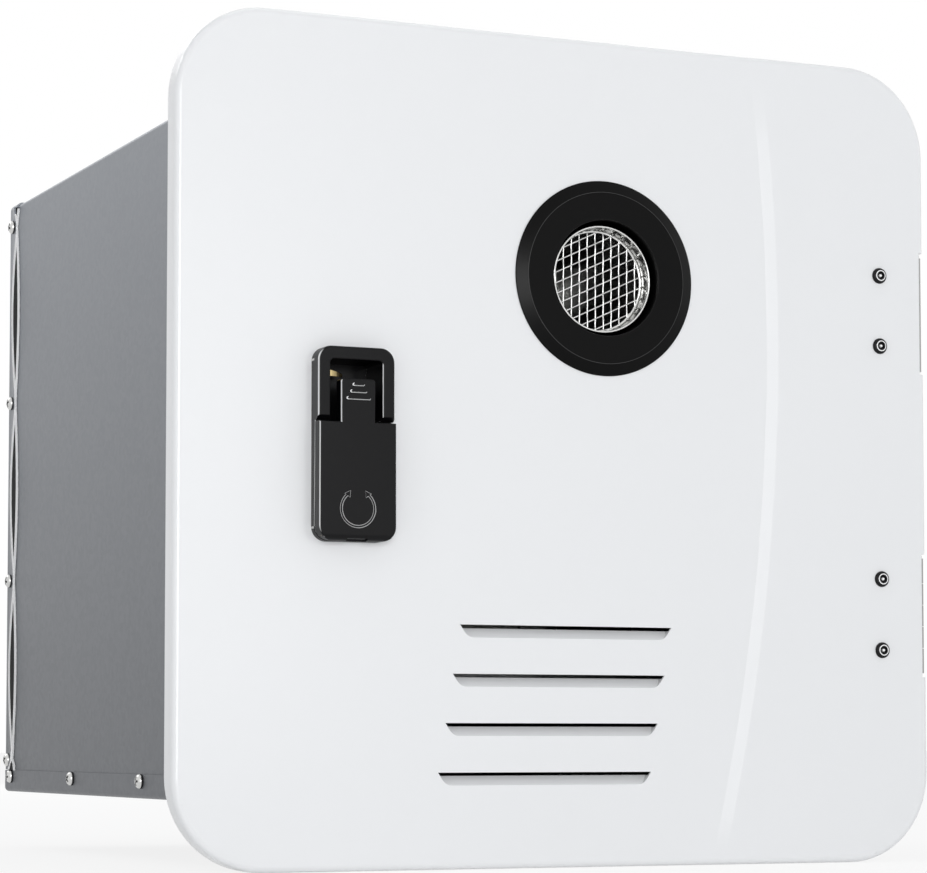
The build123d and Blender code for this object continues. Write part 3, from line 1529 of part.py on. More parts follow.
# Relief valve body on the block, with a cheek for the lever's pin
lever_pin_y = block_front_y - relief_height - relief_lobe_r
with BuildPart() as relief_valve:
    with BuildSketch(facing(block_front_y)):
        with Locations((water_x, relief_z)):
            Circle(relief_r)
    extrude(amount=relief_height)
    with BuildSketch(facing(block_front_y - relief_height)):
        with Locations((water_x, relief_z)):
            Rectangle(relief_cheek, 2 * relief_lobe_r)
    extrude(amount=relief_lobe_r)
    with Locations(Location((water_x, lever_pin_y, relief_z), (0, 90, 0))):
        Cylinder(relief_lobe_r, relief_cheek)
        Cylinder(lever_pin_r + pin_clearance, relief_cheek, mode=Mode.SUBTRACT)
finish(relief_valve, "relief_valve")

# Relief lever: a strip in front of the cheek with two ears and the pin
lever_back_y = lever_pin_y - relief_lobe_r - running_gap
ear_x = (relief_cheek + lever_thickness) / 2 + running_gap
with BuildPart() as relief_lever:
    with BuildSketch(facing(lever_back_y)):
        with Locations((water_x, relief_z - lever_ear_r + lever_length / 2)):
            Rectangle(lever_width, lever_length)
    extrude(amount=lever_thickness)
    fillet(relief_lever.edges().filter_by(Axis.Y).group_by(Axis.Z)[-1], lever_width / 2 - running_gap)
    for side in (-1, 1):
        with BuildSketch(along(water_x + side * ear_x - lever_thickness / 2)):
            with Locations((lever_pin_y, relief_z)):
                Circle(lever_ear_r)
            with Locations(((lever_back_y + lever_pin_y) / 2, relief_z)):
                Rectangle(lever_pin_y - lever_back_y, 2 * lever_ear_r)
        extrude(amount=lever_thickness)
    with BuildSketch(along(water_x - ear_x)):
        with Locations((lever_pin_y, relief_z)):
            Circle(lever_pin_r)
    extrude(amount=2 * ear_x)
finish(relief_lever, "relief_lever")

# Cold pipe in two runs, before and after the flow sensor
sensor_front_y = sensor_y - sensor_length / 2
sensor_rear_y = sensor_y + sensor_length / 2
with BuildPart() as cold_pipe:
    with BuildSketch(facing(fitting_face_y)):
        with Locations((water_x, cold_z)):
            Circle(water_pipe_r)
    extrude(amount=fitting_face_y - sensor_rear_y)
    with BuildSketch(facing(sensor_front_y)):
        with Locations((water_x, cold_z)):
            Circle(water_pipe_r)
    extrude(amount=sensor_front_y - block_rear_y)
finish(cold_pipe, "cold_pipe")

# Flow sensor body, hollow for its turbine, with a socket for the lead on top
with BuildPart() as flow_sensor:
    with BuildSketch(facing(sensor_rear_y)):
        with Locations((water_x, cold_z)):
            Circle(sensor_r)
    extrude(amount=sensor_length)
    with BuildSketch(Plane.XY.offset(cold_z)):
        with Locations((water_x, sensor_y)):
            Rectangle(sensor_socket, sensor_socket)
    extrude(amount=sensor_r + sensor_socket_rise)
    with BuildSketch(facing(sensor_rear_y - sensor_wall)):
        with Locations((water_x, cold_z)):
            Circle(sensor_r - sensor_wall)
    extrude(amount=sensor_length - 2 * sensor_wall, mode=Mode.SUBTRACT)
    with BuildSketch(facing(sensor_rear_y)):
        with Locations((water_x, cold_z)):
            Circle(turbine_shaft_r + pin_clearance)
    extrude(amount=sensor_length, mode=Mode.SUBTRACT)
finish(flow_sensor, "flow_sensor")

# Turbine in the flow sensor, on a shaft held by the body's two ends
with BuildPart() as flow_turbine:
    with BuildSketch(facing(sensor_y + turbine_length / 2)):
        with Locations((water_x, cold_z)):
            Circle(turbine_hub_r)
            with PolarLocations(turbine_r / 2, turbine_blades):
                Rectangle(turbine_r, turbine_blade)
    extrude(amount=turbine_length)
    with BuildSketch(facing(sensor_rear_y - running_gap)):
        with Locations((water_x, cold_z)):
            Circle(turbine_shaft_r)
    extrude(amount=sensor_length - 2 * running_gap)
finish(flow_turbine, "flow_turbine")

# Control box on the left wall, open to the front
control_x = -wall_inner + box_width / 2
box_mid_z = box_low + box_height / 2
box_back_y = box_front_y + box_depth
with BuildPart() as control_box:
    with BuildSketch(facing(box_back_y)):
        with Locations((control_x, box_mid_z)):
            RectangleRounded(box_width, box_height, box_corner_r)
    extrude(amount=box_depth)
    with BuildSketch(facing(box_back_y - box_wall)):
        with Locations((control_x, box_mid_z)):
            RectangleRounded(box_width - 2 * box_wall, box_height - 2 * box_wall, box_corner_r - box_wall)
    extrude(amount=box_depth, mode=Mode.SUBTRACT)
    with BuildSketch(facing(box_back_y - box_wall)):
        with Locations((control_x, box_mid_z)):
            with GridLocations(box_width - 2 * post_inset, box_height - 2 * post_inset, 2, 2):
                Circle(post_r)
    extrude(amount=board_standoff)
finish(control_box, "control_box")

# Lid of the control box, with a frame round the hole for the power rocker
rocker_pin_y = box_front_y - lid_thickness / 2
with BuildPart() as control_lid:
    with BuildSketch(facing(box_front_y)):
        with Locations((control_x, box_mid_z)):
            RectangleRounded(box_width, box_height, box_corner_r)
    extrude(amount=lid_thickness)
    with BuildSketch(facing(box_front_y - lid_thickness)):
        with Locations((control_x, rocker_z)):
            Rectangle(rocker_width + 2 * rocker_bezel, rocker_height + 2 * rocker_bezel)
    extrude(amount=rocker_bezel_rise)
    with BuildSketch(facing(box_front_y + overrun)):
        with Locations((control_x, rocker_z)):
            Rectangle(rocker_width + 2 * running_gap, rocker_height + 2 * rocker_end_gap)
    extrude(amount=lid_thickness + rocker_bezel_rise + 2 * overrun, mode=Mode.SUBTRACT)
    with Locations(Location((control_x, rocker_pin_y, rocker_z), (0, 90, 0))):
        Cylinder(rocker_pin_r + pin_clearance, rocker_width + 2 * rocker_bezel, mode=Mode.SUBTRACT)
finish(control_lid, "control_lid")

# Power rocker on its pin: a slightly vee-shaped cap
rocker_half = rocker_height / 2
rocker_front_y = rocker_pin_y - rocker_proud
with BuildPart() as power_rocker:
    with BuildSketch(along(control_x - rocker_width / 2)):
        with BuildLine():
            Polyline(
                (rocker_front_y, rocker_z - rocker_half),
                (rocker_front_y + rocker_vee, rocker_z),
                (rocker_front_y - rocker_vee, rocker_z + rocker_half),
                (rocker_pin_y + 2 * rocker_pin_r, rocker_z + rocker_half / 2),
                (rocker_pin_y + 2 * rocker_pin_r, rocker_z - rocker_half / 2),
                close=True,
            )
        make_face()
    extrude(amount=rocker_width)
    with BuildSketch(along(control_x - (rocker_width + rocker_bezel) / 2)):
        with Locations((rocker_pin_y, rocker_z)):
            Circle(rocker_pin_r)
    extrude(amount=rocker_width + rocker_bezel)
finish(power_rocker, "power_rocker")

# Circuit board on the box's posts with a relay, chips and a terminal block
board_back_y = box_back_y - box_wall - board_standoff
with BuildPart() as control_board:
    with BuildSketch(facing(board_back_y)):
        with Locations((control_x, box_mid_z)):
            Rectangle(box_width - 2 * board_inset, box_height - 2 * board_inset)
    extrude(amount=board_thickness)
    with BuildSketch(facing(board_back_y - board_thickness)):
        with Locations((control_x, box_mid_z), (control_x, box_mid_z - chip_pitch)):
            Rectangle(chip_size, chip_size)
    extrude(amount=chip_height)
    with BuildSketch(facing(board_back_y - board_thickness)):
        with Locations((control_x, box_mid_z + relay_rise)):
            Rectangle(relay_size, relay_size)
        with Locations((control_x, box_low + terminal_pitch)):
            Rectangle(terminal_count * terminal_pitch, terminal_pitch)
    extrude(amount=relay_height)
finish(control_board, "control_board")

# Igniter module on the right wall
igniter_x = wall_inner - igniter_width / 2
with BuildPart() as igniter_module:
    with BuildSketch(Plane.XY.offset(igniter_low_z)):
        with Locations((igniter_x, igniter_y)):
            Rectangle(igniter_width, igniter_depth)
    extrude(amount=igniter_height)
    fillet(igniter_module.edges().filter_by(Axis.Z), igniter_edge_r)
finish(igniter_module, "igniter_module")

# Gland for the supply cable in the rear panel
with BuildPart() as cable_gland:
    with BuildSketch(facing(rear_inner_y)):
        with Locations((gland_x, gland_z)):
            Circle(gland_flange_r)
    extrude(amount=gland_flange)
    with BuildSketch(facing(housing_back_y + gland_length)):
        with Locations((gland_x, gland_z)):
            Circle(gland_r)
    extrude(amount=gland_length + 2 * sheet)
    with BuildSketch(facing(housing_back_y + gland_length + overrun)):
        with Locations((gland_x, gland_z)):
            Circle(gland_bore_r)
    extrude(amount=gland_length + 2 * sheet + gland_flange + 2 * overrun, mode=Mode.SUBTRACT)
finish(cable_gland, "cable_gland")


def lead(points, radius, bend_r):
    """Round lead along a route with rounded bends."""
    with BuildPart() as strand:
        with BuildLine():
            path = FilletPolyline(*points, radius=bend_r)
        with BuildSketch(Plane(origin=path @ 0, z_dir=path % 0)):
            Circle(radius)
        sweep(path=path)
    return strand.part


# Wiring loom: leads from the control box to what it runs, its supply and the ignition leads
box_right_x = control_x + box_width / 2
with BuildPart() as wiring_loom:
    motor_route = [
        (control_x, box_back_y, 112.0),
        (control_x, fan_y, 112.0),
        (fan_x - motor_r, fan_y, 112.0),
    ]
    add(lead(motor_route, lead_r, motor_bend_r))
    sensor_route = [
        (water_x, box_back_y, 20.0),
        (water_x, sensor_y, 20.0),
        (water_x, sensor_y, cold_z + sensor_r + sensor_socket_rise),
    ]
    add(lead(sensor_route, lead_r, sensor_bend_r))
    igniter_route = [
        (box_right_x, 52.0, 34.0),
        (-84.0, 52.0, 34.0),
        (-62.0, 52.0, 22.0),
        (78.0, 52.0, 22.0),
        (100.0, 52.0, 34.0),
        (igniter_x - igniter_width / 2, 52.0, 34.0),
    ]
    add(lead(igniter_route, lead_r, igniter_bend_r))
    valve_route = [
        (box_right_x, 44.0, 10.0),
        (70.0, 44.0, 10.0),
        (70.0, valve_y, -58.0),
        (valve_x - solenoid_spacing / 2 - solenoid_r, valve_y, -58.0),
    ]
    add(lead(valve_route, lead_r, valve_bend_r))
    solenoid_top_z = valve_high_z + solenoid_height
    bridge_route = [
        (valve_x - 8.0, valve_y, solenoid_top_z),
        (valve_x - 8.0, valve_y, solenoid_top_z + 9.0),
        (valve_x + 8.0, valve_y, solenoid_top_z + 9.0),
        (valve_x + 8.0, valve_y, solenoid_top_z),
    ]
    add(lead(bridge_route, lead_r, bridge_bend_r))
    supply_route = [
        (gland_x, rear_inner_y - gland_flange, gland_z),
        (gland_x, 265.0, gland_z),
        (-118.0, 265.0, 98.0),
        (-118.0, box_back_y, 98.0),
    ]
    add(lead(supply_route, supply_r, supply_bend_r))
    electrode_front_y = engine_front_y - electrode_length
    for place, standoff, end_x in zip(electrode_places, (24.0, 13.0), (142.0, 130.0)):
        route_y = electrode_front_y - standoff
        ignition_route = [
            (place[0], electrode_front_y, place[1]),
            (place[0], route_y, place[1]),
            (place[0] + 22.0, route_y, -28.0),
            (end_x, igniter_y - standoff / 2, -28.0),
            (end_x, igniter_y - standoff / 2, igniter_low_z),
        ]
        add(lead(ignition_route, lead_r, ignition_bend_r))
finish(wiring_loom, "wiring_loom")
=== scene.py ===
"""Dresses the caravan water heater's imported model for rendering."""

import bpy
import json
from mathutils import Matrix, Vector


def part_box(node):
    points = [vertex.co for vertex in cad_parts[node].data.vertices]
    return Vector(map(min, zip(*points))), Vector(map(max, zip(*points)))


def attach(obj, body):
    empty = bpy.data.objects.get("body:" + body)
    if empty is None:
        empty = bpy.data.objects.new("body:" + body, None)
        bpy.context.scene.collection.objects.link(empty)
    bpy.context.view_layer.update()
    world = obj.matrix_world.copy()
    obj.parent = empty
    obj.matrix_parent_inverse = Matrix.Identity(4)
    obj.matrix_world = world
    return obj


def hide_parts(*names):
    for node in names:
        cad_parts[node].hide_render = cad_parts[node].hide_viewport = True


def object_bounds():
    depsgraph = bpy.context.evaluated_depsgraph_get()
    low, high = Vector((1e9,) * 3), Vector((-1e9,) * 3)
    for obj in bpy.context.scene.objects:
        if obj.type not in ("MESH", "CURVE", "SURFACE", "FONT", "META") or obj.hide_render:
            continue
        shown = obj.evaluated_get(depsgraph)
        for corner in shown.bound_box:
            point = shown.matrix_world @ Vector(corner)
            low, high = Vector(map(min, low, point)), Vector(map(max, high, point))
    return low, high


bl_info = {
    "name": "Caravan water heater",
    "version": (1, 0, 0),
    "blender": (4, 5, 0),
    "location": "View3D > Sidebar > Heater",
    "description": "Finishes, screws, mesh guard and studio for a caravan water heater",
    "category": "Object",
}

import json
from functools import partial
from math import cos, pi, radians, sin

import bmesh
import bpy
from mathutils import Matrix, Vector

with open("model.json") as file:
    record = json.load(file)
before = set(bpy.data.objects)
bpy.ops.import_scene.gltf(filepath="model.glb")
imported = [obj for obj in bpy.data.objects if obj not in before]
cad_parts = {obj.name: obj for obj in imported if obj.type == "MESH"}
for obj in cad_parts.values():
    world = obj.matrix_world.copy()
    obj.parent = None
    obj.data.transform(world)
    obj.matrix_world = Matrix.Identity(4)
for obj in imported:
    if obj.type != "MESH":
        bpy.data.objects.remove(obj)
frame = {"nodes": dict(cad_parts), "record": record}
cad_low, cad_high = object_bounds()

MM = 0.001
MERGE_GAP = 0.002 * MM
UP = Vector((0, 0, 1))
TOWARDS_VIEWER = Vector((0, -1, 0))
BODIES = frame["record"]["behaviour"]["bodies"]
BODY_OF = {node: body for body, nodes in BODIES.items() for node in nodes}
SLOT_OF = {part["node"]: part["material_slot"] for part in frame["record"]["subparts"]}


class HeaterSizes(bpy.types.PropertyGroup):
    """Sizes of the details that the scene adds."""

    sheet_edge: bpy.props.FloatProperty(
        name="Sheet edge", description="Rounding of cut sheet edges",
        default=0.15 * MM, unit="LENGTH"
    )
    moulded_edge: bpy.props.FloatProperty(
        name="Moulded edge", description="Rounding of moulded edges",
        default=0.35 * MM, unit="LENGTH"
    )
    latch_edge: bpy.props.FloatProperty(
        name="Latch edge", description="Rounding of the latch's front edges",
        default=0.7 * MM, unit="LENGTH"
    )
    # The lines round the turn mark and the grip bars are painted highlights.
    mark_line: bpy.props.FloatProperty(
        name="Mark line", description="Width of the bright line round the turn mark",
        default=0.35 * MM, unit="LENGTH"
    )
    wire_radius: bpy.props.FloatProperty(
        name="Guard wire", description="Radius of the guard's wires",
        default=0.37 * MM, unit="LENGTH"
    )
    wire_pitch: bpy.props.FloatProperty(
        name="Guard pitch", description="Distance between the upright wires",
        default=4.1 * MM, unit="LENGTH"
    )
    wire_rise_pitch: bpy.props.FloatProperty(
        name="Guard rise pitch", description="Height between the sloping wires",
        default=5.0 * MM, unit="LENGTH"
    )
    wire_slope: bpy.props.FloatProperty(
        name="Guard slope", description="Slope of the second set of wires",
        default=radians(25), unit="ROTATION"
    )
    wire_tab: bpy.props.FloatProperty(
        name="Guard tab", description="Length of the wire ends bent along the tube",
        default=3.0 * MM, unit="LENGTH"
    )
    flange_bow: bpy.props.FloatProperty(
        name="Flange bow", description="Gape of the rear flange between screws",
        default=2.4 * MM, unit="LENGTH"
    )
    seam_opening: bpy.props.FloatProperty(
        name="Seam opening", description="Width of the open seam between two screws",
        default=4.6 * MM, unit="LENGTH"
    )
    seam_top: bpy.props.FloatProperty(
        name="Seam top", description="Height over the top screw where the seam is fully open",
        default=14 * MM, unit="LENGTH"
    )
    pan_head_radius: bpy.props.FloatProperty(
        name="Pan head", description="Radius of the housing's screw heads",
        default=3.5 * MM, unit="LENGTH"
    )
    pan_head_height: bpy.props.FloatProperty(
        name="Pan head height", description="Height of the housing's screw heads",
        default=2.5 * MM, unit="LENGTH"
    )
    button_head_radius: bpy.props.FloatProperty(
        name="Button head", description="Radius of the door's screw heads",
        default=3.8 * MM, unit="LENGTH"
    )
    button_head_height: bpy.props.FloatProperty(
        name="Button head height", description="Height of the door's screw heads",
        default=2.0 * MM, unit="LENGTH"
    )


class HeaterColours(bpy.types.PropertyGroup):
    """Main colours of the heater."""

    door_white: bpy.props.FloatVectorProperty(
        name="Door", description="Powder coat of the door",
        default=(0.86, 0.865, 0.875), subtype="COLOR"
    )
    zinc_grey: bpy.props.FloatVectorProperty(
        name="Housing", description="Galvanised sheet",
        default=(0.172, 0.182, 0.199), subtype="COLOR"
    )
    latch_black: bpy.props.FloatVectorProperty(
        name="Black plastic", description="Latch and exhaust bezel",
        default=(0.002, 0.002, 0.0026), subtype="COLOR"
    )
    floor_white: bpy.props.FloatVectorProperty(
        name="Floor", description="Studio floor", default=(0.92, 0.92, 0.92), subtype="COLOR"
    )


# Shader groups shared by the materials

EFFECT_OUTPUTS = [(label, "NodeSocketFloat") for label in ("Height", "Tone", "Gloss")]
LINE_STRETCH = 14.0
PAINTED_GLINT_WHITE = (0.95, 0.95, 0.95, 1.0)
COAT_ROUGHNESS = 0.18
RELIEF_DEPTH = 0.1 * MM
# How strongly the housing's sheet is painted lighter towards the top and darker lower down, as painted
# light.
HOUSING_HEIGHT_SHADE = 2.1


def new_group(name, inputs, outputs):
    """An empty shader group with float inputs, and outputs given as (name, socket type)."""
    group = bpy.data.node_groups.new(name, "ShaderNodeTree")
    for label, value in inputs:
        socket = group.interface.new_socket(label, in_out="INPUT", socket_type="NodeSocketFloat")
        socket.default_value = value
    for label, kind in outputs:
        group.interface.new_socket(label, in_out="OUTPUT", socket_type=kind)
    entry = group.nodes.new("NodeGroupInput")
    leave = group.nodes.new("NodeGroupOutput")
    return group, entry, leave


def math_node(group, operation, first, second):
    """A math node fed by sockets or numbers."""
    node = group.nodes.new("ShaderNodeMath")
    node.operation = operation
    for socket, value in zip(node.inputs, (first, second)):
        if isinstance(value, bpy.types.NodeSocket):
            group.links.new(value, socket)
        else:
            socket.default_value = value
    return node.outputs[0]


def noise_node(group, vector, scale, detail):
    """A noise texture on the given coordinates, whose scale is a number or a socket."""
    node = group.nodes.new("ShaderNodeTexNoise")
    node.inputs["Detail"].default_value = detail
    group.links.new(vector, node.inputs["Vector"])
    if isinstance(scale, bpy.types.NodeSocket):
        group.links.new(scale, node.inputs["Scale"])
    else:
        node.inputs["Scale"].default_value = scale
    return node.outputs["Fac"]


def centred(group, value, amount):
    """The value moved to run about zero, times the amount."""
    return math_node(group, "MULTIPLY", math_node(group, "SUBTRACT", value, 0.5), amount)


def grain_group():
    """Fine moulded or powder-coated grain: a height, a tone about zero and a roughness about zero."""
    group, entry, leave = new_group(
        "fine_grain",
        [("Scale", 900.0), ("Tone", 0.04), ("Gloss", 0.1)],
        EFFECT_OUTPUTS,
    )
    place = group.nodes.new("ShaderNodeTexCoord").outputs["Object"]
    fine = noise_node(group, place, entry.outputs["Scale"], detail=3.0)
    broad = noise_node(group, place, scale=14.0, detail=4.0)
    smear = noise_node(group, place, scale=45.0, detail=6.0)
    group.links.new(fine, leave.inputs["Height"])
    group.links.new(centred(group, broad, entry.outputs["Tone"]), leave.inputs["Tone"])
    group.links.new(centred(group, smear, entry.outputs["Gloss"]), leave.inputs["Gloss"])
    return group


def spangle_group():
    """Zinc crystals on galvanised sheet; its tone can grow with height, as painted light that makes the
    sheet lighter towards the top and darker towards the bottom.
    """
    group, entry, leave = new_group(
        "zinc_spangle",
        [("Scale", 160.0), ("Tone", 0.1), ("Gloss", 0.15), ("Fade", 0.0)],
        EFFECT_OUTPUTS,
    )
    place = group.nodes.new("ShaderNodeTexCoord").outputs["Object"]
    cells = group.nodes.new("ShaderNodeTexVoronoi")
    group.links.new(place, cells.inputs["Vector"])
    group.links.new(entry.outputs["Scale"], cells.inputs["Scale"])
    split = group.nodes.new("ShaderNodeSeparateColor")
    group.links.new(cells.outputs["Color"], split.inputs[0])
    streak = noise_node(group, place, scale=30.0, detail=5.0)
    crystals = math_node(group, "MULTIPLY", split.outputs[0], 0.4)
    streaks = math_node(group, "MULTIPLY", streak, 0.6)
    mixed = math_node(group, "ADD", crystals, streaks)
    group.links.new(streak, leave.inputs["Height"])
    height = group.nodes.new("ShaderNodeSeparateXYZ")
    group.links.new(place, height.inputs[0])
    height_shade = math_node(group, "MULTIPLY", height.outputs["Z"], entry.outputs["Fade"])
    tone = math_node(group, "ADD", centred(group, mixed, entry.outputs["Tone"]), height_shade)
    group.links.new(tone, leave.inputs["Tone"])
    group.links.new(centred(group, split.outputs[1], entry.outputs["Gloss"]), leave.inputs["Gloss"])
    return group


def brushed_group():
    """Drawn or turned metal: fine lines along X with a little stain."""
    group, entry, leave = new_group(
        "drawn_lines",
        [("Scale", 90.0), ("Tone", 0.15), ("Gloss", 0.2)],
        EFFECT_OUTPUTS,
    )
    place = group.nodes.new("ShaderNodeTexCoord").outputs["Object"]
    stretch = group.nodes.new("ShaderNodeMapping")
    stretch.inputs["Scale"].default_value = (1.0, LINE_STRETCH, LINE_STRETCH)
    group.links.new(place, stretch.inputs["Vector"])
    lines = noise_node(group, stretch.outputs[0], entry.outputs["Scale"], detail=4.0)
    stain = noise_node(group, place, scale=25.0, detail=4.0)
    group.links.new(lines, leave.inputs["Height"])
    group.links.new(centred(group, stain, entry.outputs["Tone"]), leave.inputs["Tone"])
    group.links.new(centred(group, lines, entry.outputs["Gloss"]), leave.inputs["Gloss"])
    return group


def glint_group():
    """A mask of the surfaces that face a given way, within a band of the turn away from it, for painted
    highlights.
    """
    labels = [("X", 0.0), ("Y", -1.0), ("Z", 0.0), ("Centre", 1.0), ("Width", 0.1), ("Strength", 1.0)]
    group, entry, leave = new_group("edge_glint", labels, [("Mask", "NodeSocketFloat")])
    way = group.nodes.new("ShaderNodeCombineXYZ")
    for label in "XYZ":
        group.links.new(entry.outputs[label], way.inputs[label])
    facing = group.nodes.new("ShaderNodeVectorMath")
    facing.operation = "DOT_PRODUCT"
    group.links.new(way.outputs[0], facing.inputs[0])
    group.links.new(group.nodes.new("ShaderNodeTexCoord").outputs["Normal"], facing.inputs[1])
    off = math_node(group, "SUBTRACT", facing.outputs["Value"], entry.outputs["Centre"])
    off = math_node(group, "DIVIDE", math_node(group, "ABSOLUTE", off, 0.0), entry.outputs["Width"])
    mask = math_node(group, "MAXIMUM", math_node(group, "SUBTRACT", 1.0, off), 0.0)
    group.links.new(math_node(group, "MULTIPLY", mask, entry.outputs["Strength"]), leave.inputs["Mask"])
    return group


def add_glint(material, group, way, centre, width, strength):
    """Paints a highlight into the base colour of a finish where its surfaces face the given way."""
    tree = material.node_tree
    shader = tree.nodes["Principled BSDF"]
    mask = tree.nodes.new("ShaderNodeGroup")
    mask.node_tree = group
    way = Vector(way).normalized()
    labels = ("X", "Y", "Z", "Centre", "Width", "Strength")
    for label, value in zip(labels, (*way, centre, width, strength)):
        mask.inputs[label].default_value = value
    mix = tree.nodes.new("ShaderNodeMix")
    mix.data_type = "RGBA"
    tree.links.new(mask.outputs["Mask"], mix.inputs[0])
    tree.links.new(shader.inputs["Base Color"].links[0].from_socket, mix.inputs[6])
    mix.inputs[7].default_value = PAINTED_GLINT_WHITE
    tree.links.new(mix.outputs[2], shader.inputs["Base Color"])


def finish_material(
    name, colour, roughness, metallic, group, scale, tone, gloss, bump, coat=0.0, shine=0.5
):
    """A material with its own shader, fed by one of the shared groups."""
    material = bpy.data.materials.new(name)
    material.use_nodes = True
    tree = material.node_tree
    shader = tree.nodes["Principled BSDF"]
    shader.inputs["Metallic"].default_value = metallic
    shader.inputs["Coat Weight"].default_value = coat
    shader.inputs["Specular IOR Level"].default_value = shine
    shader.inputs["Coat Roughness"].default_value = COAT_ROUGHNESS
    effect = tree.nodes.new("ShaderNodeGroup")
    effect.node_tree = group
    effect.inputs["Scale"].default_value = scale
    effect.inputs["Tone"].default_value = tone
    effect.inputs["Gloss"].default_value = gloss
    hue = tree.nodes.new("ShaderNodeHueSaturation")
    hue.inputs["Color"].default_value = (*colour, 1.0)
    tree.links.new(math_node(tree, "ADD", effect.outputs["Tone"], 1.0), hue.inputs["Value"])
    tree.links.new(hue.outputs[0], shader.inputs["Base Color"])
    rough = math_node(tree, "ADD", effect.outputs["Gloss"], roughness)
    tree.links.new(rough, shader.inputs["Roughness"])
    relief = tree.nodes.new("ShaderNodeBump")
    relief.inputs["Strength"].default_value = bump
    relief.inputs["Distance"].default_value = RELIEF_DEPTH
    tree.links.new(effect.outputs["Height"], relief.inputs["Height"])
    tree.links.new(relief.outputs[0], shader.inputs["Normal"])
    return material


def make_materials():
    """Every finish by its record slot."""
    colours = bpy.context.scene.heater_colours
    grain, spangle, drawn = grain_group(), spangle_group(), brushed_group()
    black = tuple(colours.latch_black)
    zinc = tuple(colours.zinc_grey)
    steel, bright = (0.5, 0.5, 0.49), (0.62, 0.62, 0.61)
    brass, copper = (0.6, 0.4, 0.15), (0.6, 0.26, 0.13)
    # Colour, roughness, metallic, group, then its scale, tone, gloss and bump; coat and shine may follow
    rows = {
        "door_paint": (tuple(colours.door_white), 0.3, 0.0, grain, 700.0, 0.012, 0.04, 0.1, 0.5),
        "galvanised": (zinc, 0.4, 1.0, spangle, 420.0, 0.02, 0.04, 0.03, 0.0),
        "plated_screws": (bright, 0.3, 1.0, drawn, 200.0, 0.15, 0.15, 0.1, 0.0),
        "gasket_rubber": ((0.01, 0.01, 0.011), 0.8, 0.0, grain, 500.0, 0.3, 0.15, 0.7, 0.0),
        "spring_steel": (steel, 0.35, 1.0, drawn, 100.0, 0.2, 0.2, 0.1, 0.0),
        "hinge_steel": ((0.33, 0.33, 0.33), 0.4, 1.0, drawn, 120.0, 0.2, 0.2, 0.1, 0.0),
        "black_screws": ((0.004, 0.004, 0.005), 0.35, 0.0, grain, 900.0, 0.3, 0.15, 0.1, 0.0, 0.2),
        "lining_foam": ((0.08, 0.08, 0.085), 0.9, 0.0, grain, 400.0, 0.35, 0.1, 0.9, 0.0),
        "black_plastic": (black, 0.36, 0.0, grain, 1500.0, 0.2, 0.08, 0.14, 0.12, 0.12),
        "latch_metal": ((0.5, 0.4, 0.2), 0.35, 1.0, drawn, 150.0, 0.2, 0.2, 0.1, 0.0),
        "stainless": ((0.7, 0.7, 0.69), 0.2, 1.0, drawn, 160.0, 0.04, 0.05, 0.02, 0.0),
        "aluminised": (steel, 0.42, 1.0, spangle, 300.0, 0.12, 0.15, 0.1, 0.0),
        "motor_black": ((0.03, 0.03, 0.033), 0.5, 0.0, grain, 800.0, 0.25, 0.15, 0.3, 0.0),
        "copper": (copper, 0.32, 1.0, drawn, 120.0, 0.35, 0.25, 0.1, 0.0),
        "burner_steel": ((0.25, 0.23, 0.22), 0.5, 1.0, drawn, 90.0, 0.5, 0.25, 0.2, 0.0),
        "ceramic": ((0.78, 0.75, 0.68), 0.15, 0.0, grain, 300.0, 0.06, 0.05, 0.03, 0.5),
        "aluminium": ((0.55, 0.56, 0.57), 0.42, 1.0, grain, 600.0, 0.15, 0.15, 0.5, 0.0),
        "coil_black": ((0.03, 0.03, 0.033), 0.45, 0.0, grain, 700.0, 0.25, 0.15, 0.3, 0.0),
        "plunger_steel": (bright, 0.25, 1.0, drawn, 150.0, 0.1, 0.1, 0.05, 0.0),
        "brass": (brass, 0.3, 1.0, drawn, 150.0, 0.25, 0.2, 0.1, 0.0),
        "sensor_plastic": ((0.05, 0.05, 0.055), 0.45, 0.0, grain, 900.0, 0.25, 0.1, 0.3, 0.0),
        "turbine_plastic": ((0.75, 0.75, 0.7), 0.4, 0.0, grain, 900.0, 0.06, 0.1, 0.15, 0.0),
        "knob_blue": ((0.02, 0.09, 0.36), 0.4, 0.0, grain, 900.0, 0.15, 0.1, 0.25, 0.0),
        "lever_red": ((0.42, 0.015, 0.012), 0.4, 0.0, grain, 900.0, 0.15, 0.1, 0.25, 0.0),
        "box_plastic": ((0.1, 0.105, 0.11), 0.5, 0.0, grain, 800.0, 0.15, 0.1, 0.35, 0.0),
        "board_green": ((0.015, 0.14, 0.05), 0.3, 0.0, grain, 300.0, 0.25, 0.1, 0.1, 0.3),
        "rocker_plastic": ((0.02, 0.02, 0.02), 0.25, 0.0, grain, 900.0, 0.2, 0.1, 0.1, 0.0),
        "gland_plastic": ((0.03, 0.03, 0.033), 0.5, 0.0, grain, 900.0, 0.2, 0.1, 0.3, 0.0),
        "lead_sheath": ((0.03, 0.03, 0.033), 0.45, 0.0, grain, 600.0, 0.25, 0.1, 0.2, 0.0),
        "bezel_enamel": ((0.0015, 0.0015, 0.0016), 0.3, 0.0, grain, 1500.0, 0.2, 0.08, 0.1, 0.02, 0.09),
        # A grey material that paints highlights round the turn mark and along the grip bars.
        "sheen_paint": ((0.42, 0.42, 0.42), 0.25, 0.0, grain, 1500.0, 0.1, 0.08, 0.1, 0.0),
        # A white material that paints highlights on edges, screw heads and grip bars.
        "cut_edge": ((1.0, 1.0, 1.0), 0.35, 0.0, drawn, 200.0, 0.1, 0.1, 0.05, 0.0),
    }
    finishes = {name: finish_material(name, *row) for name, row in rows.items()}
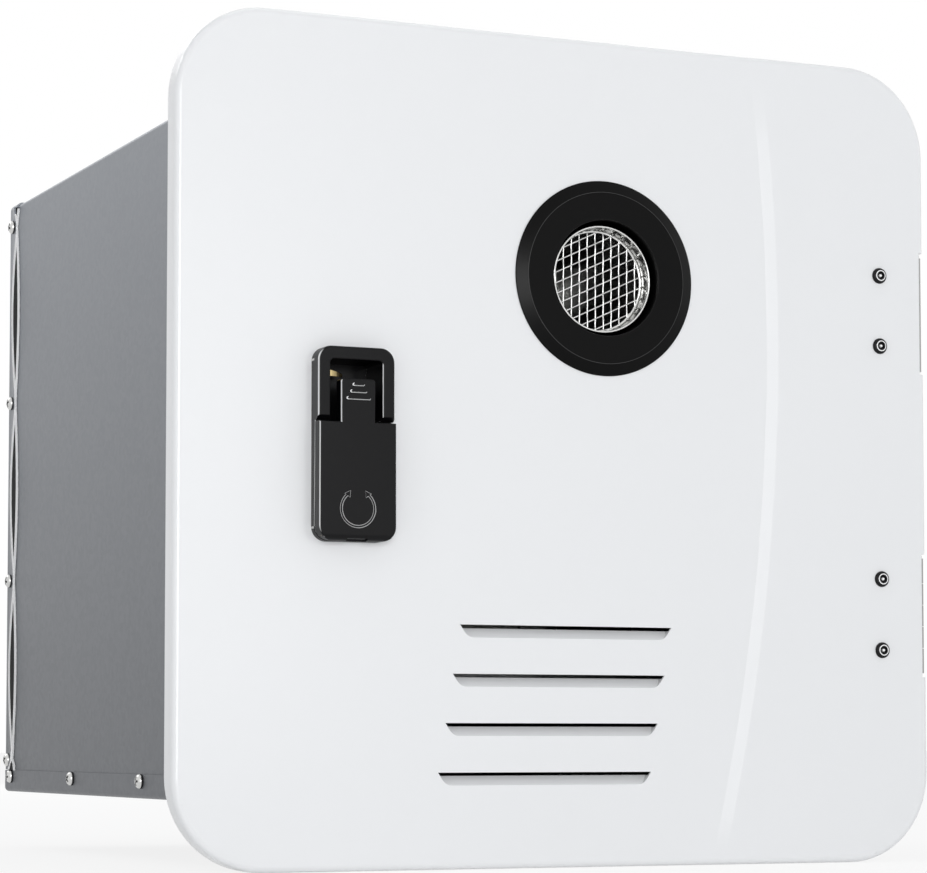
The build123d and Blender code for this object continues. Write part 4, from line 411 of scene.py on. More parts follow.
    # Painted light: the housing's sheet is painted lighter towards the top and darker towards the
    # bottom.
    finishes["galvanised"].node_tree.nodes["Group"].inputs["Fade"].default_value = HOUSING_HEIGHT_SHADE
    glint = glint_group()
    left_front = (-0.72, -0.66, 0.15)
    # Painted highlight along the black latch's left-front edges.
    add_glint(finishes["black_plastic"], glint, left_front, centre=1.0, width=0.14, strength=0.9)
    # Painted highlight: a thin lighter ring on the bezel's face where it turns into its rounded edge.
    add_glint(finishes["bezel_enamel"], glint, TOWARDS_VIEWER, centre=0.978, width=0.014, strength=0.1)
    return finishes


materials = {}


def material_of(node):
    """The finish of a CAD node's slot."""
    return materials[SLOT_OF[node]]


# Helpers that turn a bmesh into a piece


def add_piece(name, bm, node, extra=(), slot=None):
    """Makes a piece from the bmesh, which rides with the CAD node's body in its finish or the slot's."""
    slot = slot or SLOT_OF[node]
    mesh = bpy.data.meshes.new(name)
    bm.to_mesh(mesh)
    bm.free()
    piece = bpy.data.objects.new(name, mesh)
    bpy.context.scene.collection.objects.link(piece)
    mesh.materials.append(materials[slot])
    for material in extra:
        mesh.materials.append(material)
    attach(piece, BODY_OF[node])
    return piece


def cad_copy(node):
    """A bmesh of the CAD node with its triangles joined into flat faces."""
    bm = bmesh.new()
    bm.from_mesh(frame["nodes"][node].data)
    bmesh.ops.remove_doubles(bm, verts=bm.verts, dist=MERGE_GAP)
    bmesh.ops.dissolve_limit(
        bm, angle_limit=radians(0.2), verts=bm.verts, edges=bm.edges, delimit={"NORMAL"}
    )
    return bm


def soften(piece, width, angle=30.0, segments=2):
    """Rounds the piece's sharp edges and smooths the rest."""
    for face in piece.data.polygons:
        face.use_smooth = True
    bevel = piece.modifiers.new("Edges", "BEVEL")
    bevel.limit_method = "ANGLE"
    bevel.angle_limit = radians(angle)
    bevel.width = width
    bevel.segments = segments
    bevel.harden_normals = False
    bevel.use_clamp_overlap = True
    normals = piece.modifiers.new("Shading", "WEIGHTED_NORMAL")
    normals.keep_sharp = False
    return piece


def round_fronts(bm, width):
    """Rounds the edges between a front face and a side face deep enough to carry the rounding."""
    front_limit, side_limit, least_depths = -0.95, 0.2, 2
    chosen = []
    for edge in bm.edges:
        if len(edge.link_faces) != 2 or not edge.is_convex:
            continue
        front, side = sorted(edge.link_faces, key=lambda face: face.normal.y)
        depths = [vert.co.y for vert in side.verts]
        deep = max(depths) - min(depths) > least_depths * width
        if front.normal.y < front_limit and abs(side.normal.y) < side_limit and deep:
            chosen.append(edge)
    bmesh.ops.bevel(
        bm, geom=chosen, offset=width, segments=4, profile=0.5, affect="EDGES", clamp_overlap=False
    )
    return bm


def dress(node, width, angle=30.0, segments=2, fronts=0.0):
    """A copy of the CAD node with rounded edges stands for it."""
    copy = cad_copy(node)
    if fronts:
        round_fronts(copy, fronts)
    piece = add_piece(node + "_finished", copy, node)
    soften(piece, width, angle, segments)
    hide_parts(node)
    return piece


def pointing(place, axis):
    """The matrix that puts local +Z along the axis at the place."""
    return Matrix.Translation(place) @ UP.rotation_difference(axis).to_matrix().to_4x4()


def lathe(bm, profile, place, axis, steps):
    """Spins a closed or end-on-axis profile of (radius, height) about the axis through the place."""
    matrix = pointing(place, axis)
    verts = [bm.verts.new(matrix @ Vector((radius, 0, height))) for radius, height in profile]
    edges = [bm.edges.new(pair) for pair in zip(verts, verts[1:])]
    bmesh.ops.spin(
        bm, geom=verts + edges, cent=place, axis=axis, angle=2 * pi, steps=steps,
        use_merge=True, use_duplicate=False,
    )


def rod(bm, radius, depth, matrix, segments, end_radius=None):
    """A capped rod along the matrix's Z, centred on its origin, which can narrow to its far end."""
    bmesh.ops.create_cone(
        bm, cap_ends=True, segments=segments, radius1=radius, radius2=end_radius or radius,
        depth=depth, matrix=matrix,
    )


def dome(radius, height, rim, steps, roundness, rise=1.0):
    """A screw head's profile from the rim, a share of its height, to its top on the axis."""
    points = []
    for number in range(1, steps):
        angle = number / steps * pi / 2
        above_rim = (1 - rim) * sin(angle) ** rise
        points.append((radius * cos(angle) ** roundness, height * (rim + above_rim)))
    return points + [(0, height)]


def closed(bm):
    """Merges doubles and turns the faces outwards."""
    bmesh.ops.remove_doubles(bm, verts=bm.verts, dist=MERGE_GAP)
    bmesh.ops.recalc_face_normals(bm, faces=bm.faces)
    return bm


def islands(node):
    """The (low, high) corners of each separate solid of a CAD node, from left to right."""
    bm = cad_copy(node)
    left = set(bm.verts)
    boxes = []
    while left:
        stack = [left.pop()]
        points = []
        while stack:
            vert = stack.pop()
            points.append(vert.co.copy())
            for edge in vert.link_edges:
                other = edge.other_vert(vert)
                if other in left:
                    left.remove(other)
                    stack.append(other)
        low = Vector(map(min, zip(*points)))
        high = Vector(map(max, zip(*points)))
        boxes.append((low, high))
    bm.free()
    return sorted(boxes, key=lambda box: [round(value, 4) for value in box[0]])


def final_mesh(piece):
    """A new mesh of the object with its modifiers or curve thickness applied."""
    bpy.context.view_layer.update()
    return bpy.data.meshes.new_from_object(piece.evaluated_get(bpy.context.evaluated_depsgraph_get()))


def carve(target, cutter):
    """The target bmesh less the cutter bmesh."""
    pair = []
    for bm in (target, cutter):
        mesh = bpy.data.meshes.new("work")
        bm.to_mesh(mesh)
        bm.free()
        work = bpy.data.objects.new("work", mesh)
        bpy.context.scene.collection.objects.link(work)
        pair.append(work)
    cut = pair[0].modifiers.new("Cut", "BOOLEAN")
    cut.operation = "DIFFERENCE"
    cut.solver = "EXACT"
    cut.object = pair[1]
    result = bmesh.new()
    result.from_mesh(final_mesh(pair[0]))
    for work in pair:
        bpy.data.objects.remove(work)
    return result


def place_copies(source, matrices):
    """One bmesh with the source mesh at every matrix."""
    bm = bmesh.new()
    for matrix in matrices:
        start = len(bm.verts)
        bm.from_mesh(source)
        bm.verts.ensure_lookup_table()
        bmesh.ops.transform(bm, matrix=matrix, verts=bm.verts[start:])
    return bm


def mesh_of(bm):
    """A loose mesh of the bmesh."""
    mesh = bpy.data.meshes.new("part")
    bm.to_mesh(mesh)
    bm.free()
    return mesh


class HEATER_OT_finishes(bpy.types.Operator):
    """Make every finish and give it to the CAD nodes"""

    bl_idname = "heater.finishes"
    bl_label = "Finishes"

    def execute(self, context):
        materials.update(make_materials())
        for node, piece in frame["nodes"].items():
            piece.data.materials.clear()
            piece.data.materials.append(material_of(node))
        return {"FINISHED"}


class HEATER_OT_door(bpy.types.Operator):
    """Finish the door, its hinges and what is behind it"""

    bl_idname = "heater.door"
    bl_label = "Door"

    def execute(self, context):
        sizes = context.scene.heater_sizes
        panel = dress("door_panel", sizes.sheet_edge, angle=25.0)
        self.keep_crease(panel)
        hinges = ("hinge_frame_leaves", "hinge_door_leaves", "hinge_pins")
        for node in hinges + ("wall_frame", "wall_gasket", "door_seal"):
            dress(node, sizes.sheet_edge)
        return {"FINISHED"}

    def keep_crease(self, panel):
        """Marks the shallow step beside the hinges as sharp, so its slope is shaded as a slope."""
        rolled_edge = 3.2 * MM
        nearest, farthest = 0.25, 0.75
        front_limit, least_turn = -0.985, radians(2)
        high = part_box("door_panel")[1]
        bm = bmesh.new()
        bm.from_mesh(panel.data)
        for edge in bm.edges:
            middle = (edge.verts[0].co + edge.verts[1].co) / 2
            beside = nearest * high.x < middle.x < farthest * high.x
            inner = beside and abs(middle.z) < high.z - rolled_edge
            fronts = [face for face in edge.link_faces if face.normal.y < front_limit]
            flat = len(fronts) == len(edge.link_faces) == 2
            if inner and flat and edge.calc_face_angle() > least_turn:
                edge.smooth = False
        bm.to_mesh(panel.data)
        bm.free()
        panel.modifiers["Shading"].keep_sharp = True


class HEATER_OT_housing(bpy.types.Operator):
    """Finish the sheet-metal housing, whose rear flange gapes a little between its screws"""

    bl_idname = "heater.housing"
    bl_label = "Housing"

    def execute(self, context):
        sizes = context.scene.heater_sizes
        dress("wrap_shell", sizes.sheet_edge)
        dress("bottom_pan", sizes.sheet_edge)
        self.rear_panel(sizes)
        for node in ("water_fittings", "gas_inlet", "cable_gland"):
            dress(node, sizes.moulded_edge)
        return {"FINISHED"}

    def rear_panel(self, sizes):
        """The rear panel with a wave along the free edge of its side flanges, whose forward-facing edge
        faces carry a painted highlight.
        """
        bands, depth_shares = 48, (0.25, 0.5, 0.75)
        skin, top_margin, fold, bow_power = 2 * MM, 3 * MM, 3 * MM, 1.5
        free_edge_limit = -0.7
        low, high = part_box("rear_panel")
        rows = sorted(
            {round((a.z + b.z) / 2, 4) for a, b in islands("shell_screws")
             if (a.y + b.y) / 2 > low.y and abs(a.x + b.x) > high.x and b.x - a.x > b.z - a.z}
        )
        wave = partial(self.seam_wave, rows, sizes)
        bm = cad_copy("rear_panel")
        for band in range(1, bands):
            self.cut_across(bm, (0, 0, low.z + (high.z - low.z) * band / bands), (0, 0, 1))
        for share in depth_shares:
            self.cut_across(bm, (0, low.y + (high.y - low.y) * share, 0), (0, 1, 0))
        for vert in bm.verts:
            if abs(vert.co.x) < high.x - skin or vert.co.z > high.z - top_margin:
                continue
            free_share = max(0.0, (high.y - fold - vert.co.y) / (high.y - fold - low.y))
            gape = wave(vert.co.z) / sizes.seam_opening * sizes.flange_bow
            vert.co.x += (1 if vert.co.x > 0 else -1) * gape * free_share**bow_power
        # Painted highlight: the flanges' forward-facing free edge faces take the white second material.
        for face in bm.faces:
            if face.normal.y < free_edge_limit and abs(face.calc_center_median().x) > high.x - skin:
                face.material_index = 1
        piece = add_piece("rear_panel_finished", bm, "rear_panel", (materials["cut_edge"],))
        soften(piece, sizes.sheet_edge)
        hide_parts("rear_panel")
        # Painted shade: a dark strip in the open seam where the flange gapes from the wall.
        self.seam_strip("seam_painted_shade", "gasket_rubber", 0.15 * MM, 0.0, wave)
        # Painted highlight: a thin white strip on the wall just ahead of the flange's edge.
        self.seam_strip("seam_painted_highlight", "cut_edge", 1.2 * MM, 0.8 * MM, wave)

    def cut_across(self, bm, place, normal):
        """Divides every face along a plane."""
        parts = bm.verts[:] + bm.edges[:] + bm.faces[:]
        bmesh.ops.bisect_plane(bm, geom=parts, plane_co=place, plane_no=normal)

    def seam_wave(self, rows, sizes, height):
        """How far the seam opens forwards at a height: nothing at a screw, most between two."""
        above = min((row for row in rows if row >= height), default=None)
        below = max((row for row in rows if row < height), default=None)
        if above is None:
            return sizes.seam_opening * min(1.0, (height - below) / sizes.seam_top)
        if below is None:
            return 0.0
        return sizes.seam_opening * sin(pi * (height - below) / (above - below))

    def seam_strip(self, name, finish, thickness, width, wave):
        """A strip on each side wall along the rear flange; with no width it is a dark strip of painted
        shade that fills the gap where the flange gapes.
        """
        bands, bottom_margin, top_margin = 96, 9 * MM, 4 * MM
        overlap, shade_middle, shade_back = 0.2 * MM, 0.3 * MM, 1.5 * MM
        sizes = bpy.context.scene.heater_sizes
        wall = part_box("wrap_shell")[1].x
        low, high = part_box("rear_panel")
        length = high.z - low.z - (bottom_margin + top_margin)
        bm = bmesh.new()
        for side in (-1, 1):
            grid = bmesh.ops.create_grid(bm, x_segments=2, y_segments=bands, size=0.5)["verts"]
            for vert in grid:
                height = low.z + bottom_margin + length * (vert.co.y + 0.5)
                front = low.y - overlap - wave(height)
                back = front + width if width else low.y + shade_back
                middle = back if width else low.y + shade_middle
                column = round(2 * vert.co.x) + 1
                vert.co = Vector((side * wall, (front, middle, back)[column], height))
            corners = set(grid)
            faces = [face for face in bm.faces if face.verts[0] in corners]
            raised = bmesh.ops.extrude_face_region(bm, geom=faces)["geom"]
            for vert in (item for item in raised if isinstance(item, bmesh.types.BMVert)):
                gape = wave(vert.co.z) / sizes.seam_opening * sizes.flange_bow
                # Painted shade: with no width the strip reaches out as far as the flange gapes.
                shade_gape = 0.0 if width or vert.co.y < low.y else gape
                vert.co.x += side * (thickness + shade_gape)
        bmesh.ops.recalc_face_normals(bm, faces=bm.faces)
        extra = () if finish in SLOT_OF.values() else (materials[finish],)
        piece = add_piece(name, bm, "rear_panel", extra, slot=None if extra else finish)
        for face in piece.data.polygons:
            face.material_index = len(extra)


class HEATER_OT_screws(bpy.types.Operator):
    """Pan-head screws on the housing and button-head screws on the door"""

    bl_idname = "heater.screws"
    bl_label = "Screws"

    def execute(self, context):
        sizes = context.scene.heater_sizes
        self.housing_screws(sizes)
        self.door_screws(sizes)
        return {"FINISHED"}

    def pan_head(self, sizes):
        """A pan head with a crossed recess, its seat at the origin and its top up; the recess and the
        low side of the head are painted dark as shade.
        """
        radius, height = sizes.pan_head_radius, sizes.pan_head_height
        shank_radius, shank_length = 1.6 * MM, 8.0 * MM
        rim = 0.25
        arm_size = (1.25 * radius, 0.3 * radius, height, 1.0)
        floor, ceiling, reach = 0.3 * height, 0.9 * height, 0.6 * radius
        side_limit = 0.3
        profile = [(0, -shank_length), (shank_radius, -shank_length), (shank_radius, 0), (radius, 0)]
        profile += [(radius, rim * height)] + dome(radius, height, rim, 8, roundness=0.55, rise=1.2)
        head = bmesh.new()
        lathe(head, profile, Vector((0, 0, 0)), UP, 32)
        closed(head)
        for turn in (0, pi / 2):
            arm = bmesh.new()
            shape = Matrix.Rotation(turn, 4, "Z") @ Matrix.Diagonal(arm_size)
            bmesh.ops.create_cube(arm, size=1.0, matrix=Matrix.Translation((0, 0, height)) @ shape)
            head = carve(head, arm)
        mesh = mesh_of(head)
        # Painted shade: the faces inside the cross recess and round the head's low side take the dark
        # second material.
        for face in mesh.polygons:
            centre = face.center
            recessed = floor < centre.z < ceiling and centre.xy.length < reach
            side = abs(face.normal.z) < side_limit and 0 < centre.z < floor
            face.material_index = 1 if recessed or side else 0
        return mesh

    def housing_screws(self, sizes):
        """The heads look away from the housing's middle along each screw's long side."""
        head_edge, turn_step = 0.1 * MM, 0.7
        source = self.pan_head(sizes)
        low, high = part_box("wrap_shell")
        middle = (low + high) / 2
        matrices = []
        for number, (a, b) in enumerate(islands("shell_screws")):
            centre, size = (a + b) / 2, b - a
            middle_size = sorted(size)[1]
            along = max(range(3), key=lambda i: abs(size[i] - middle_size))
            axis = Vector((0, 0, 0))
            axis[along] = 1.0 if centre[along] > middle[along] else -1.0
            seat = centre.copy()
            outer = b[along] if axis[along] > 0 else a[along]
            seat[along] = outer - axis[along] * sizes.pan_head_height
            spin = Matrix.Rotation(number * turn_step, 4, "Z")
            matrices.append(pointing(seat, axis) @ spin)
        dark = (materials["gasket_rubber"],)
        piece = add_piece("housing_screws", place_copies(source, matrices), "shell_screws", dark)
        soften(piece, head_edge, angle=40.0)
        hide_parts("shell_screws")

    def button_head(self, sizes):
        """A button head whose hexagon socket holds a pin, with a ring on its dome, its seat at the
        origin; the pin and the ring are painted white as highlights.
        """
        radius, height = sizes.button_head_radius, sizes.button_head_height
        rim, seat_depth = 0.2, 0.1 * height
        socket_radius, socket_depth = 0.5 * radius, 1.3 * height
        pin_radius, pin_top_radius = 0.2 * radius, 0.16 * radius
        pin_height, pin_middle = 0.5 * height, 0.6 * height
        profile = [(0, -seat_depth), (radius, -seat_depth), (radius, rim * height)]
        head = bmesh.new()
        lathe(head, profile + dome(radius, height, rim, 9, roundness=0.8), Vector((0, 0, 0)), UP, 40)
        closed(head)
        socket = bmesh.new()
        rod(socket, socket_radius, socket_depth, Matrix.Translation((0, 0, height)), 6)
        head = carve(head, socket)
        highlight_from = len(head.faces)
        rod(head, pin_radius, pin_height, Matrix.Translation((0, 0, pin_middle)), 16, pin_top_radius)
        ring = [(0.56, 0.86), (0.68, 0.82), (0.68, 0.92), (0.56, 0.96), (0.56, 0.86)]
        lathe(head, [(across * radius, up * height) for across, up in ring], Vector((0, 0, 0)), UP, 40)
        closed(head)
        head.faces.ensure_lookup_table()
        # Painted highlights: the pin and the ring on the dome take the white second material.
        for face in head.faces[highlight_from:]:
            face.material_index = 1
        return mesh_of(head)

    def door_screws(self, sizes):
        """Button heads with their shanks, and the nuts behind the door."""
        shank_radius, nut_radius, head_edge, same_depth = 2.0 * MM, 4.0 * MM, 0.12 * MM, 0.5 * MM
        heads, parts = [], bmesh.new()
        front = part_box("hinge_screws")[0].y
        for a, b in islands("hinge_screws"):
            centre = (a + b) / 2
            if a.y < front + same_depth:
                seat = Vector((centre.x, a.y + sizes.button_head_height, centre.z))
                heads.append(pointing(seat, TOWARDS_VIEWER))
                middle = Vector((centre.x, (b.y + seat.y) / 2, centre.z))
                rod(parts, shank_radius, b.y - seat.y, pointing(middle, -TOWARDS_VIEWER), 24)
            else:
                rod(parts, nut_radius, b.y - a.y, pointing(centre, -TOWARDS_VIEWER), 6)
        bm = place_copies(self.button_head(sizes), heads)
        bm.from_mesh(mesh_of(parts))
        piece = add_piece("door_screws", bm, "hinge_screws", (materials["cut_edge"],))
        soften(piece, head_edge, angle=35.0)
        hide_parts("hinge_screws")


class HEATER_OT_exhaust(bpy.types.Operator):
    """The bezel, the tube with its rounded rim and the woven wire guard"""

    bl_idname = "heater.exhaust"
    bl_label = "Exhaust"

    def execute(self, context):
        sizes = context.scene.heater_sizes
        rim_share = 2.6
        bezel = dress("exhaust_bezel", sizes.moulded_edge, angle=8.0, segments=3)
        bezel.data.materials[0] = materials["bezel_enamel"]
        dress("exhaust_tube", sizes.sheet_edge * rim_share, segments=3)
        self.guard(sizes)
        return {"FINISHED"}

    def guard(self, sizes):
        """Two sets of wires woven over and under each other, inside a seam ring."""
        low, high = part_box("exhaust_guard")
        centre = (low + high) / 2
        outer = (high.x - low.x) / 2
        slope = sizes.wire_slope
        upright, level = Vector((0, 0, 1)), Vector((1, 0, 0))
        sloping, steep = Vector((cos(slope), 0, sin(slope))), Vector((-sin(slope), 0, cos(slope)))
        curve = bpy.data.curves.new("wires", "CURVE")
        curve.dimensions = "3D"
        curve.bevel_depth = sizes.wire_radius
        curve.bevel_resolution = 2
        clearance = 0.1 * MM
        reach = outer - sizes.wire_radius - clearance
        sets = [
            (upright, level, sizes.wire_pitch, sizes.wire_rise_pitch),
            (sloping, steep, sizes.wire_rise_pitch * cos(slope), sizes.wire_pitch / cos(slope)),
        ]
        for family, layout in enumerate(sets):
            self.wires(curve, sizes, centre, reach, family, *layout)
        holder = bpy.data.objects.new("wires", curve)
        bpy.context.scene.collection.objects.link(holder)
        bm = bmesh.new()
        bm.from_mesh(final_mesh(holder))
        bpy.data.objects.remove(holder)
        ring_sheet, ring_half = 1.2 * MM, 0.6 * MM
        profile = [
            (outer - ring_sheet, -ring_half), (outer, -ring_half), (outer, ring_half),
            (outer - ring_sheet, ring_half), (outer - ring_sheet, -ring_half),
        ]
        ring = bmesh.new()
        lathe(ring, profile, centre, TOWARDS_VIEWER, 64)
        closed(ring)
        bm.from_mesh(mesh_of(ring))
        piece = add_piece("wire_guard", bm, "exhaust_guard")
        for face in piece.data.polygons:
            face.use_smooth = True
        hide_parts("exhaust_guard")

    def wires(self, curve, sizes, centre, reach, family, along, across, pitch, crossing):
        """One set of parallel wires with their ends bent along the tube; set 1 lies half a pitch off."""
        weave_depth, step_length, nearest_rim = 0.16 * MM, 0.6 * MM, 0.97
        count = int(reach / pitch) + 1
        for number in range(-count, count + 1):
            offset = (number + family / 2) * pitch
            if abs(offset) > reach * nearest_rim:
                continue
            half = (reach**2 - offset**2) ** 0.5
            steps = max(6, int(2 * half / step_length))
            points = []
            for step in range(steps + 1):
                place = -half + 2 * half * step / steps
                point = centre + across * offset + along * place
                point.y += weave_depth * cos(pi * place / crossing + number * pi + family * pi)
                points.append(point)
            tab = Vector((0, -sizes.wire_tab, 0))
            points = [points[0] + tab, *points, points[-1] + tab]
            spline = curve.splines.new("POLY")
            spline.points.add(len(points) - 1)
            for slot, point in zip(spline.points, points):
                slot.co = (*point, 1.0)


class HEATER_OT_latch(bpy.types.Operator):
    """The black latch with its lifting handle"""

    bl_idname = "heater.latch"
    bl_label = "Latch"

    def execute(self, context):
        sizes = context.scene.heater_sizes
        other_edges = sizes.moulded_edge * 0.3
        dress("latch_base", other_edges, fronts=sizes.latch_edge)
        handle = dress("latch_handle", other_edges, fronts=sizes.latch_edge)
        self.mark_edges(handle, sizes)
        for node in ("latch_spindle", "latch_cam", "cam_nut", "handle_pin", "strike_keeper"):
            dress(node, sizes.sheet_edge)
        spindle = bpy.data.objects["latch_spindle_finished"]
        spindle.data.materials[0] = materials["black_screws"]
        self.spring_leaf()
        return {"FINISHED"}

    def mark_edges(self, handle, sizes):
        """A painted highlight round the turn mark's floor and under the grip bars, with white painted
        highlights on the bars' left ends.
        """
        least_floor, least_bar, deepest, tallest = 0.15 * MM, 0.1 * MM, 0.5 * MM, 0.6 * MM
        front_limit, left_limit = -0.99, -0.7
        handle.data.materials.append(materials["sheen_paint"])
        handle.data.materials.append(materials["cut_edge"])
        bm = bmesh.new()
        bm.from_mesh(handle.data)
        fronts = [face for face in bm.faces if face.normal.y < front_limit]
        plate_y = max(fronts, key=lambda face: face.calc_area()).calc_center_median().y
        sunk = {face: face.calc_center_median().y - plate_y for face in fronts}
        floors = [face for face in fronts if least_floor < sunk[face] < deepest]
        # Painted highlight: a grey ring round the turn mark's floor.
        for face in bmesh.ops.inset_individual(bm, faces=floors, thickness=sizes.mark_line)["faces"]:
            face.material_index = 1
        bars = [face for face in fronts if least_bar < -sunk[face] < tallest]
        # Painted highlights on each grip bar: white at its left end, grey along its lower rim.
        for bar in bars:
            middle = bar.calc_center_median().copy()
            left = min(vert.co.x for vert in bar.verts)
            for face in bmesh.ops.inset_individual(bm, faces=[bar], thickness=sizes.mark_line)["faces"]:
                place = face.calc_center_median()
                if place.x < left + 2 * sizes.mark_line:
                    face.material_index = 2
                elif place.z < middle.z:
                    face.material_index = 1
        # Painted highlight: the left-facing ends of the raised bars are painted white.
        for face in bm.faces:
            proud = plate_y - face.calc_center_median().y
            if face.normal.x < left_limit and least_bar < proud < deepest:
                face.material_index = 2
        bm.to_mesh(handle.data)
        bm.free()

    def spring_leaf(self):
        """A curved brass leaf high in the finger recess, which narrows and falls to the right."""
        inset, length, depth, drop = 5 * MM, 12 * MM, 10 * MM, 10 * MM
        bow, width, narrowing, fall, thickness = 2.5 * MM, 3.6 * MM, 0.6, 1.5 * MM, 0.4 * MM
        low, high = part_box("latch_base")
        bm = bmesh.new()
        leaf = bmesh.ops.create_grid(bm, x_segments=10, y_segments=2, size=0.5)["verts"]
        for vert in leaf:
            along, across = vert.co.x + 0.5, vert.co.y
            vert.co = Vector((
                low.x + inset + length * along,
                high.y - depth + bow * (2 * along - 1) ** 2,
                high.z - drop + width * across * (1 - narrowing * along) - fall * along,
            ))
        piece = add_piece("latch_leaf", bm, "latch_base", slot="latch_metal")
        piece.modifiers.new("Leaf", "SOLIDIFY").thickness = thickness


class HEATER_OT_inside(bpy.types.Operator):
    """Finish the pieces inside the housing"""

    bl_idname = "heater.inside"
    bl_label = "Inside"

    def execute(self, context):
        sizes = context.scene.heater_sizes
        nodes = (
            "fan_scroll", "fan_cover", "fan_motor", "flue_hood", "heat_exchanger", "water_coil",
            "combustion_box", "burner_cover", "ignition_electrodes", "support_brackets", "gas_manifold",
            "gas_valve", "gas_solenoids", "water_block", "relief_valve", "relief_lever", "drain_knob",
            "flow_sensor", "cold_pipe", "control_box", "control_lid", "power_rocker", "igniter_module",
            "door_lining",
        )
        for node in nodes:
            dress(node, sizes.sheet_edge)
        return {"FINISHED"}


SKY_TINT = (0.95, 0.975, 1.0, 1.0)
SKY_STRENGTH = 0.47
FLOOR_GLOW = 0.84
FLOOR_GAP = 0.2 * MM
FLOOR_HALF = 12.0


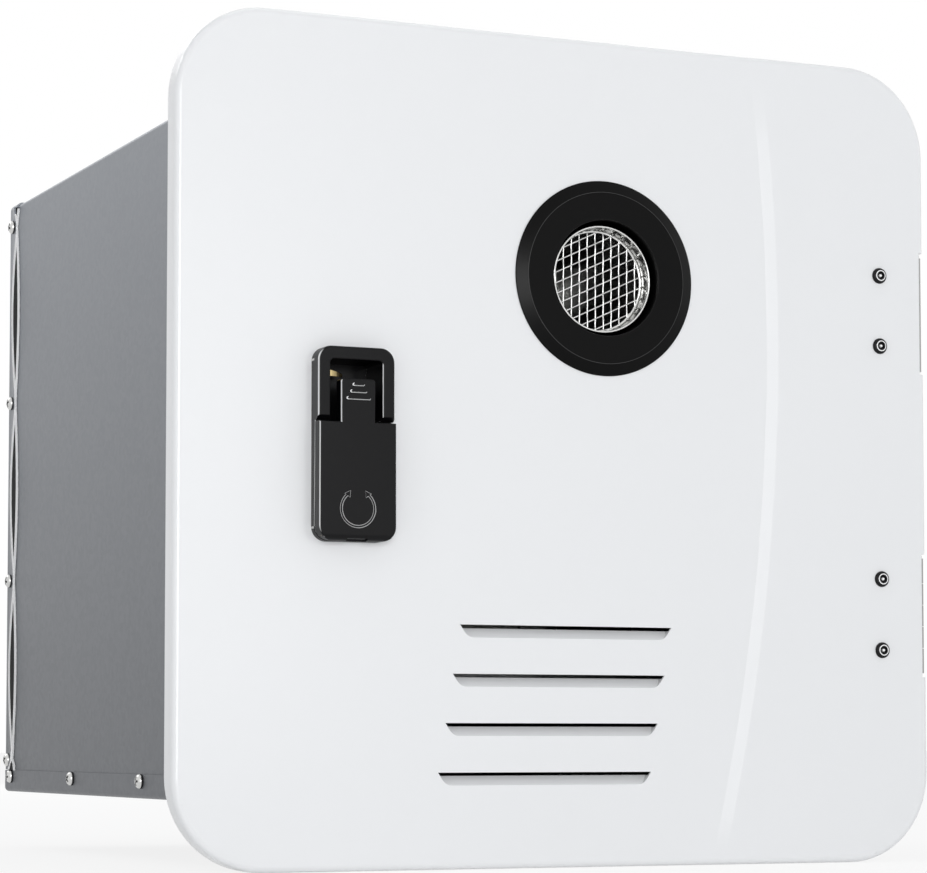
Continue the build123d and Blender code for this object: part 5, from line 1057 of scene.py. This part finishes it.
class HEATER_OT_stage(bpy.types.Operator):
    """Pale floor, soft studio light and the photograph's camera"""

    bl_idname = "heater.stage"
    bl_label = "Stage"

    def execute(self, context):
        self.world(context.scene)
        self.floor(context.scene)
        self.lamps(context.scene)
        self.camera(context.scene)
        context.scene.view_settings.view_transform = "Standard"
        return {"FINISHED"}

    def seen_directly(self, tree):
        """One for camera, glossy and transmission rays, and zero for the rest."""
        path = tree.nodes.new("ShaderNodeLightPath")
        total = math_node(tree, "ADD", path.outputs["Is Camera Ray"], path.outputs["Is Glossy Ray"])
        total = math_node(tree, "ADD", total, path.outputs["Is Transmission Ray"])
        return math_node(tree, "MINIMUM", total, 1.0)

    def world(self, scene):
        """White where it is seen, and a soft even light elsewhere."""
        world = bpy.data.worlds.new("studio")
        scene.world = world
        world.use_nodes = True
        tree = world.node_tree
        soft = tree.nodes["Background"]
        soft.inputs["Color"].default_value = SKY_TINT
        soft.inputs["Strength"].default_value = SKY_STRENGTH
        white = tree.nodes.new("ShaderNodeBackground")
        white.inputs["Color"].default_value = (1.0, 1.0, 1.0, 1.0)
        white.inputs["Strength"].default_value = 1.0
        mix = tree.nodes.new("ShaderNodeMixShader")
        tree.links.new(self.seen_directly(tree), mix.inputs[0])
        tree.links.new(soft.outputs[0], mix.inputs[1])
        tree.links.new(white.outputs[0], mix.inputs[2])
        tree.links.new(mix.outputs[0], tree.nodes["World Output"].inputs["Surface"])

    def floor(self, scene):
        """A wide floor just under the door's lower edge."""
        bm = bmesh.new()
        below = Matrix.Translation((0, 0, cad_low.z - FLOOR_GAP))
        bmesh.ops.create_grid(bm, x_segments=2, y_segments=2, size=FLOOR_HALF, matrix=below)
        mesh = mesh_of(bm)
        floor = bpy.data.objects.new("floor", mesh)
        scene.collection.objects.link(floor)
        material = bpy.data.materials.new("studio_floor")
        material.use_nodes = True
        tree = material.node_tree
        shader = tree.nodes["Principled BSDF"]
        shader.inputs["Base Color"].default_value = (*scene.heater_colours.floor_white, 1.0)
        shader.inputs["Roughness"].default_value = 0.9
        shader.inputs["Specular IOR Level"].default_value = 0.0
        glow = tree.nodes.new("ShaderNodeEmission")
        share = math_node(tree, "MULTIPLY", self.seen_directly(tree), FLOOR_GLOW)
        mix = tree.nodes.new("ShaderNodeMixShader")
        tree.links.new(share, mix.inputs[0])
        tree.links.new(shader.outputs[0], mix.inputs[1])
        tree.links.new(glow.outputs[0], mix.inputs[2])
        tree.links.new(mix.outputs[0], tree.nodes["Material Output"].inputs["Surface"])
        mesh.materials.append(material)

    def lamps(self, scene):
        """A soft key lamp from the left, narrow strips for the edges and weaker lamps all round."""
        target = Vector((0, 0, 0))
        # Name, place and size in metres, watts
        rows = [
            ("key_lamp", (-0.9, -2.8, 0.14), (1.3, 1.3), 41.0),
            ("left_strip", (-1.0, -0.5, 0.2), (0.04, 0.8), 0.3),
            ("far_strip", (3.0, -10.0, 0.4), (1.0, 3.6), 35.0),
            ("wall_lamp", (-1.3, 2.2, 1.7), (1.0, 1.0), 9.0),
            ("top_lamp", (0.3, 0.2, 2.4), (1.6, 1.6), 8.0),
            ("right_lamp", (2.0, -0.9, 0.6), (1.2, 1.2), 2.5),
            ("rear_lamp", (0.6, 2.4, 0.8), (1.6, 1.6), 8.0),
        ]
        for name, place, size, watts in rows:
            data = bpy.data.lights.new(name, "AREA")
            data.shape = "RECTANGLE"
            data.size, data.size_y = size
            data.energy = watts
            lamp = bpy.data.objects.new(name, data)
            lamp.location = place
            lamp.rotation_euler = (target - Vector(place)).to_track_quat("-Z", "Y").to_euler()
            scene.collection.objects.link(lamp)

    def camera(self, scene):
        """The photograph's viewpoint, from the front left and a little below."""
        data = bpy.data.cameras.new("camera")
        data.sensor_width = 36.0
        data.lens = 118.8
        data.shift_y = 0.12
        data.clip_start, data.clip_end = 0.01, 100.0
        camera = bpy.data.objects.new("camera", data)
        camera.location = (-0.6131, -1.2651, -0.1326)
        yaw, pitch = radians(24.07), radians(3.59)
        ahead = Vector((sin(yaw) * cos(pitch), cos(yaw) * cos(pitch), sin(pitch)))
        camera.rotation_euler = ahead.to_track_quat("-Z", "Y").to_euler()
        scene.collection.objects.link(camera)
        scene.camera = camera


OPERATORS = (
    HEATER_OT_finishes,
    HEATER_OT_door,
    HEATER_OT_housing,
    HEATER_OT_screws,
    HEATER_OT_exhaust,
    HEATER_OT_latch,
    HEATER_OT_inside,
    HEATER_OT_stage,
)


class HEATER_PT_panel(bpy.types.Panel):
    """Lists the heater's steps"""

    bl_idname = "HEATER_PT_panel"
    bl_label = "Heater"
    bl_space_type = "VIEW_3D"
    bl_region_type = "UI"
    bl_category = "Heater"

    def draw(self, context):
        for operator in OPERATORS:
            self.layout.operator(operator.bl_idname)


CLASSES = (HeaterSizes, HeaterColours, *OPERATORS, HEATER_PT_panel)


def register():
    """Registers the classes and their settings."""
    for cls in CLASSES:
        bpy.utils.register_class(cls)
    bpy.types.Scene.heater_sizes = bpy.props.PointerProperty(type=HeaterSizes)
    bpy.types.Scene.heater_colours = bpy.props.PointerProperty(type=HeaterColours)


def unregister():
    """Removes the settings and the classes."""
    del bpy.types.Scene.heater_colours
    del bpy.types.Scene.heater_sizes
    for cls in reversed(CLASSES):
        bpy.utils.unregister_class(cls)


def main():
    """Runs every step."""
    register()
    bpy.ops.heater.finishes()
    bpy.ops.heater.door()
    bpy.ops.heater.housing()
    bpy.ops.heater.screws()
    bpy.ops.heater.exhaust()
    bpy.ops.heater.latch()
    bpy.ops.heater.inside()
    bpy.ops.heater.stage()
    bpy.context.view_layer.update()


if __name__ == "__main__":
    main()
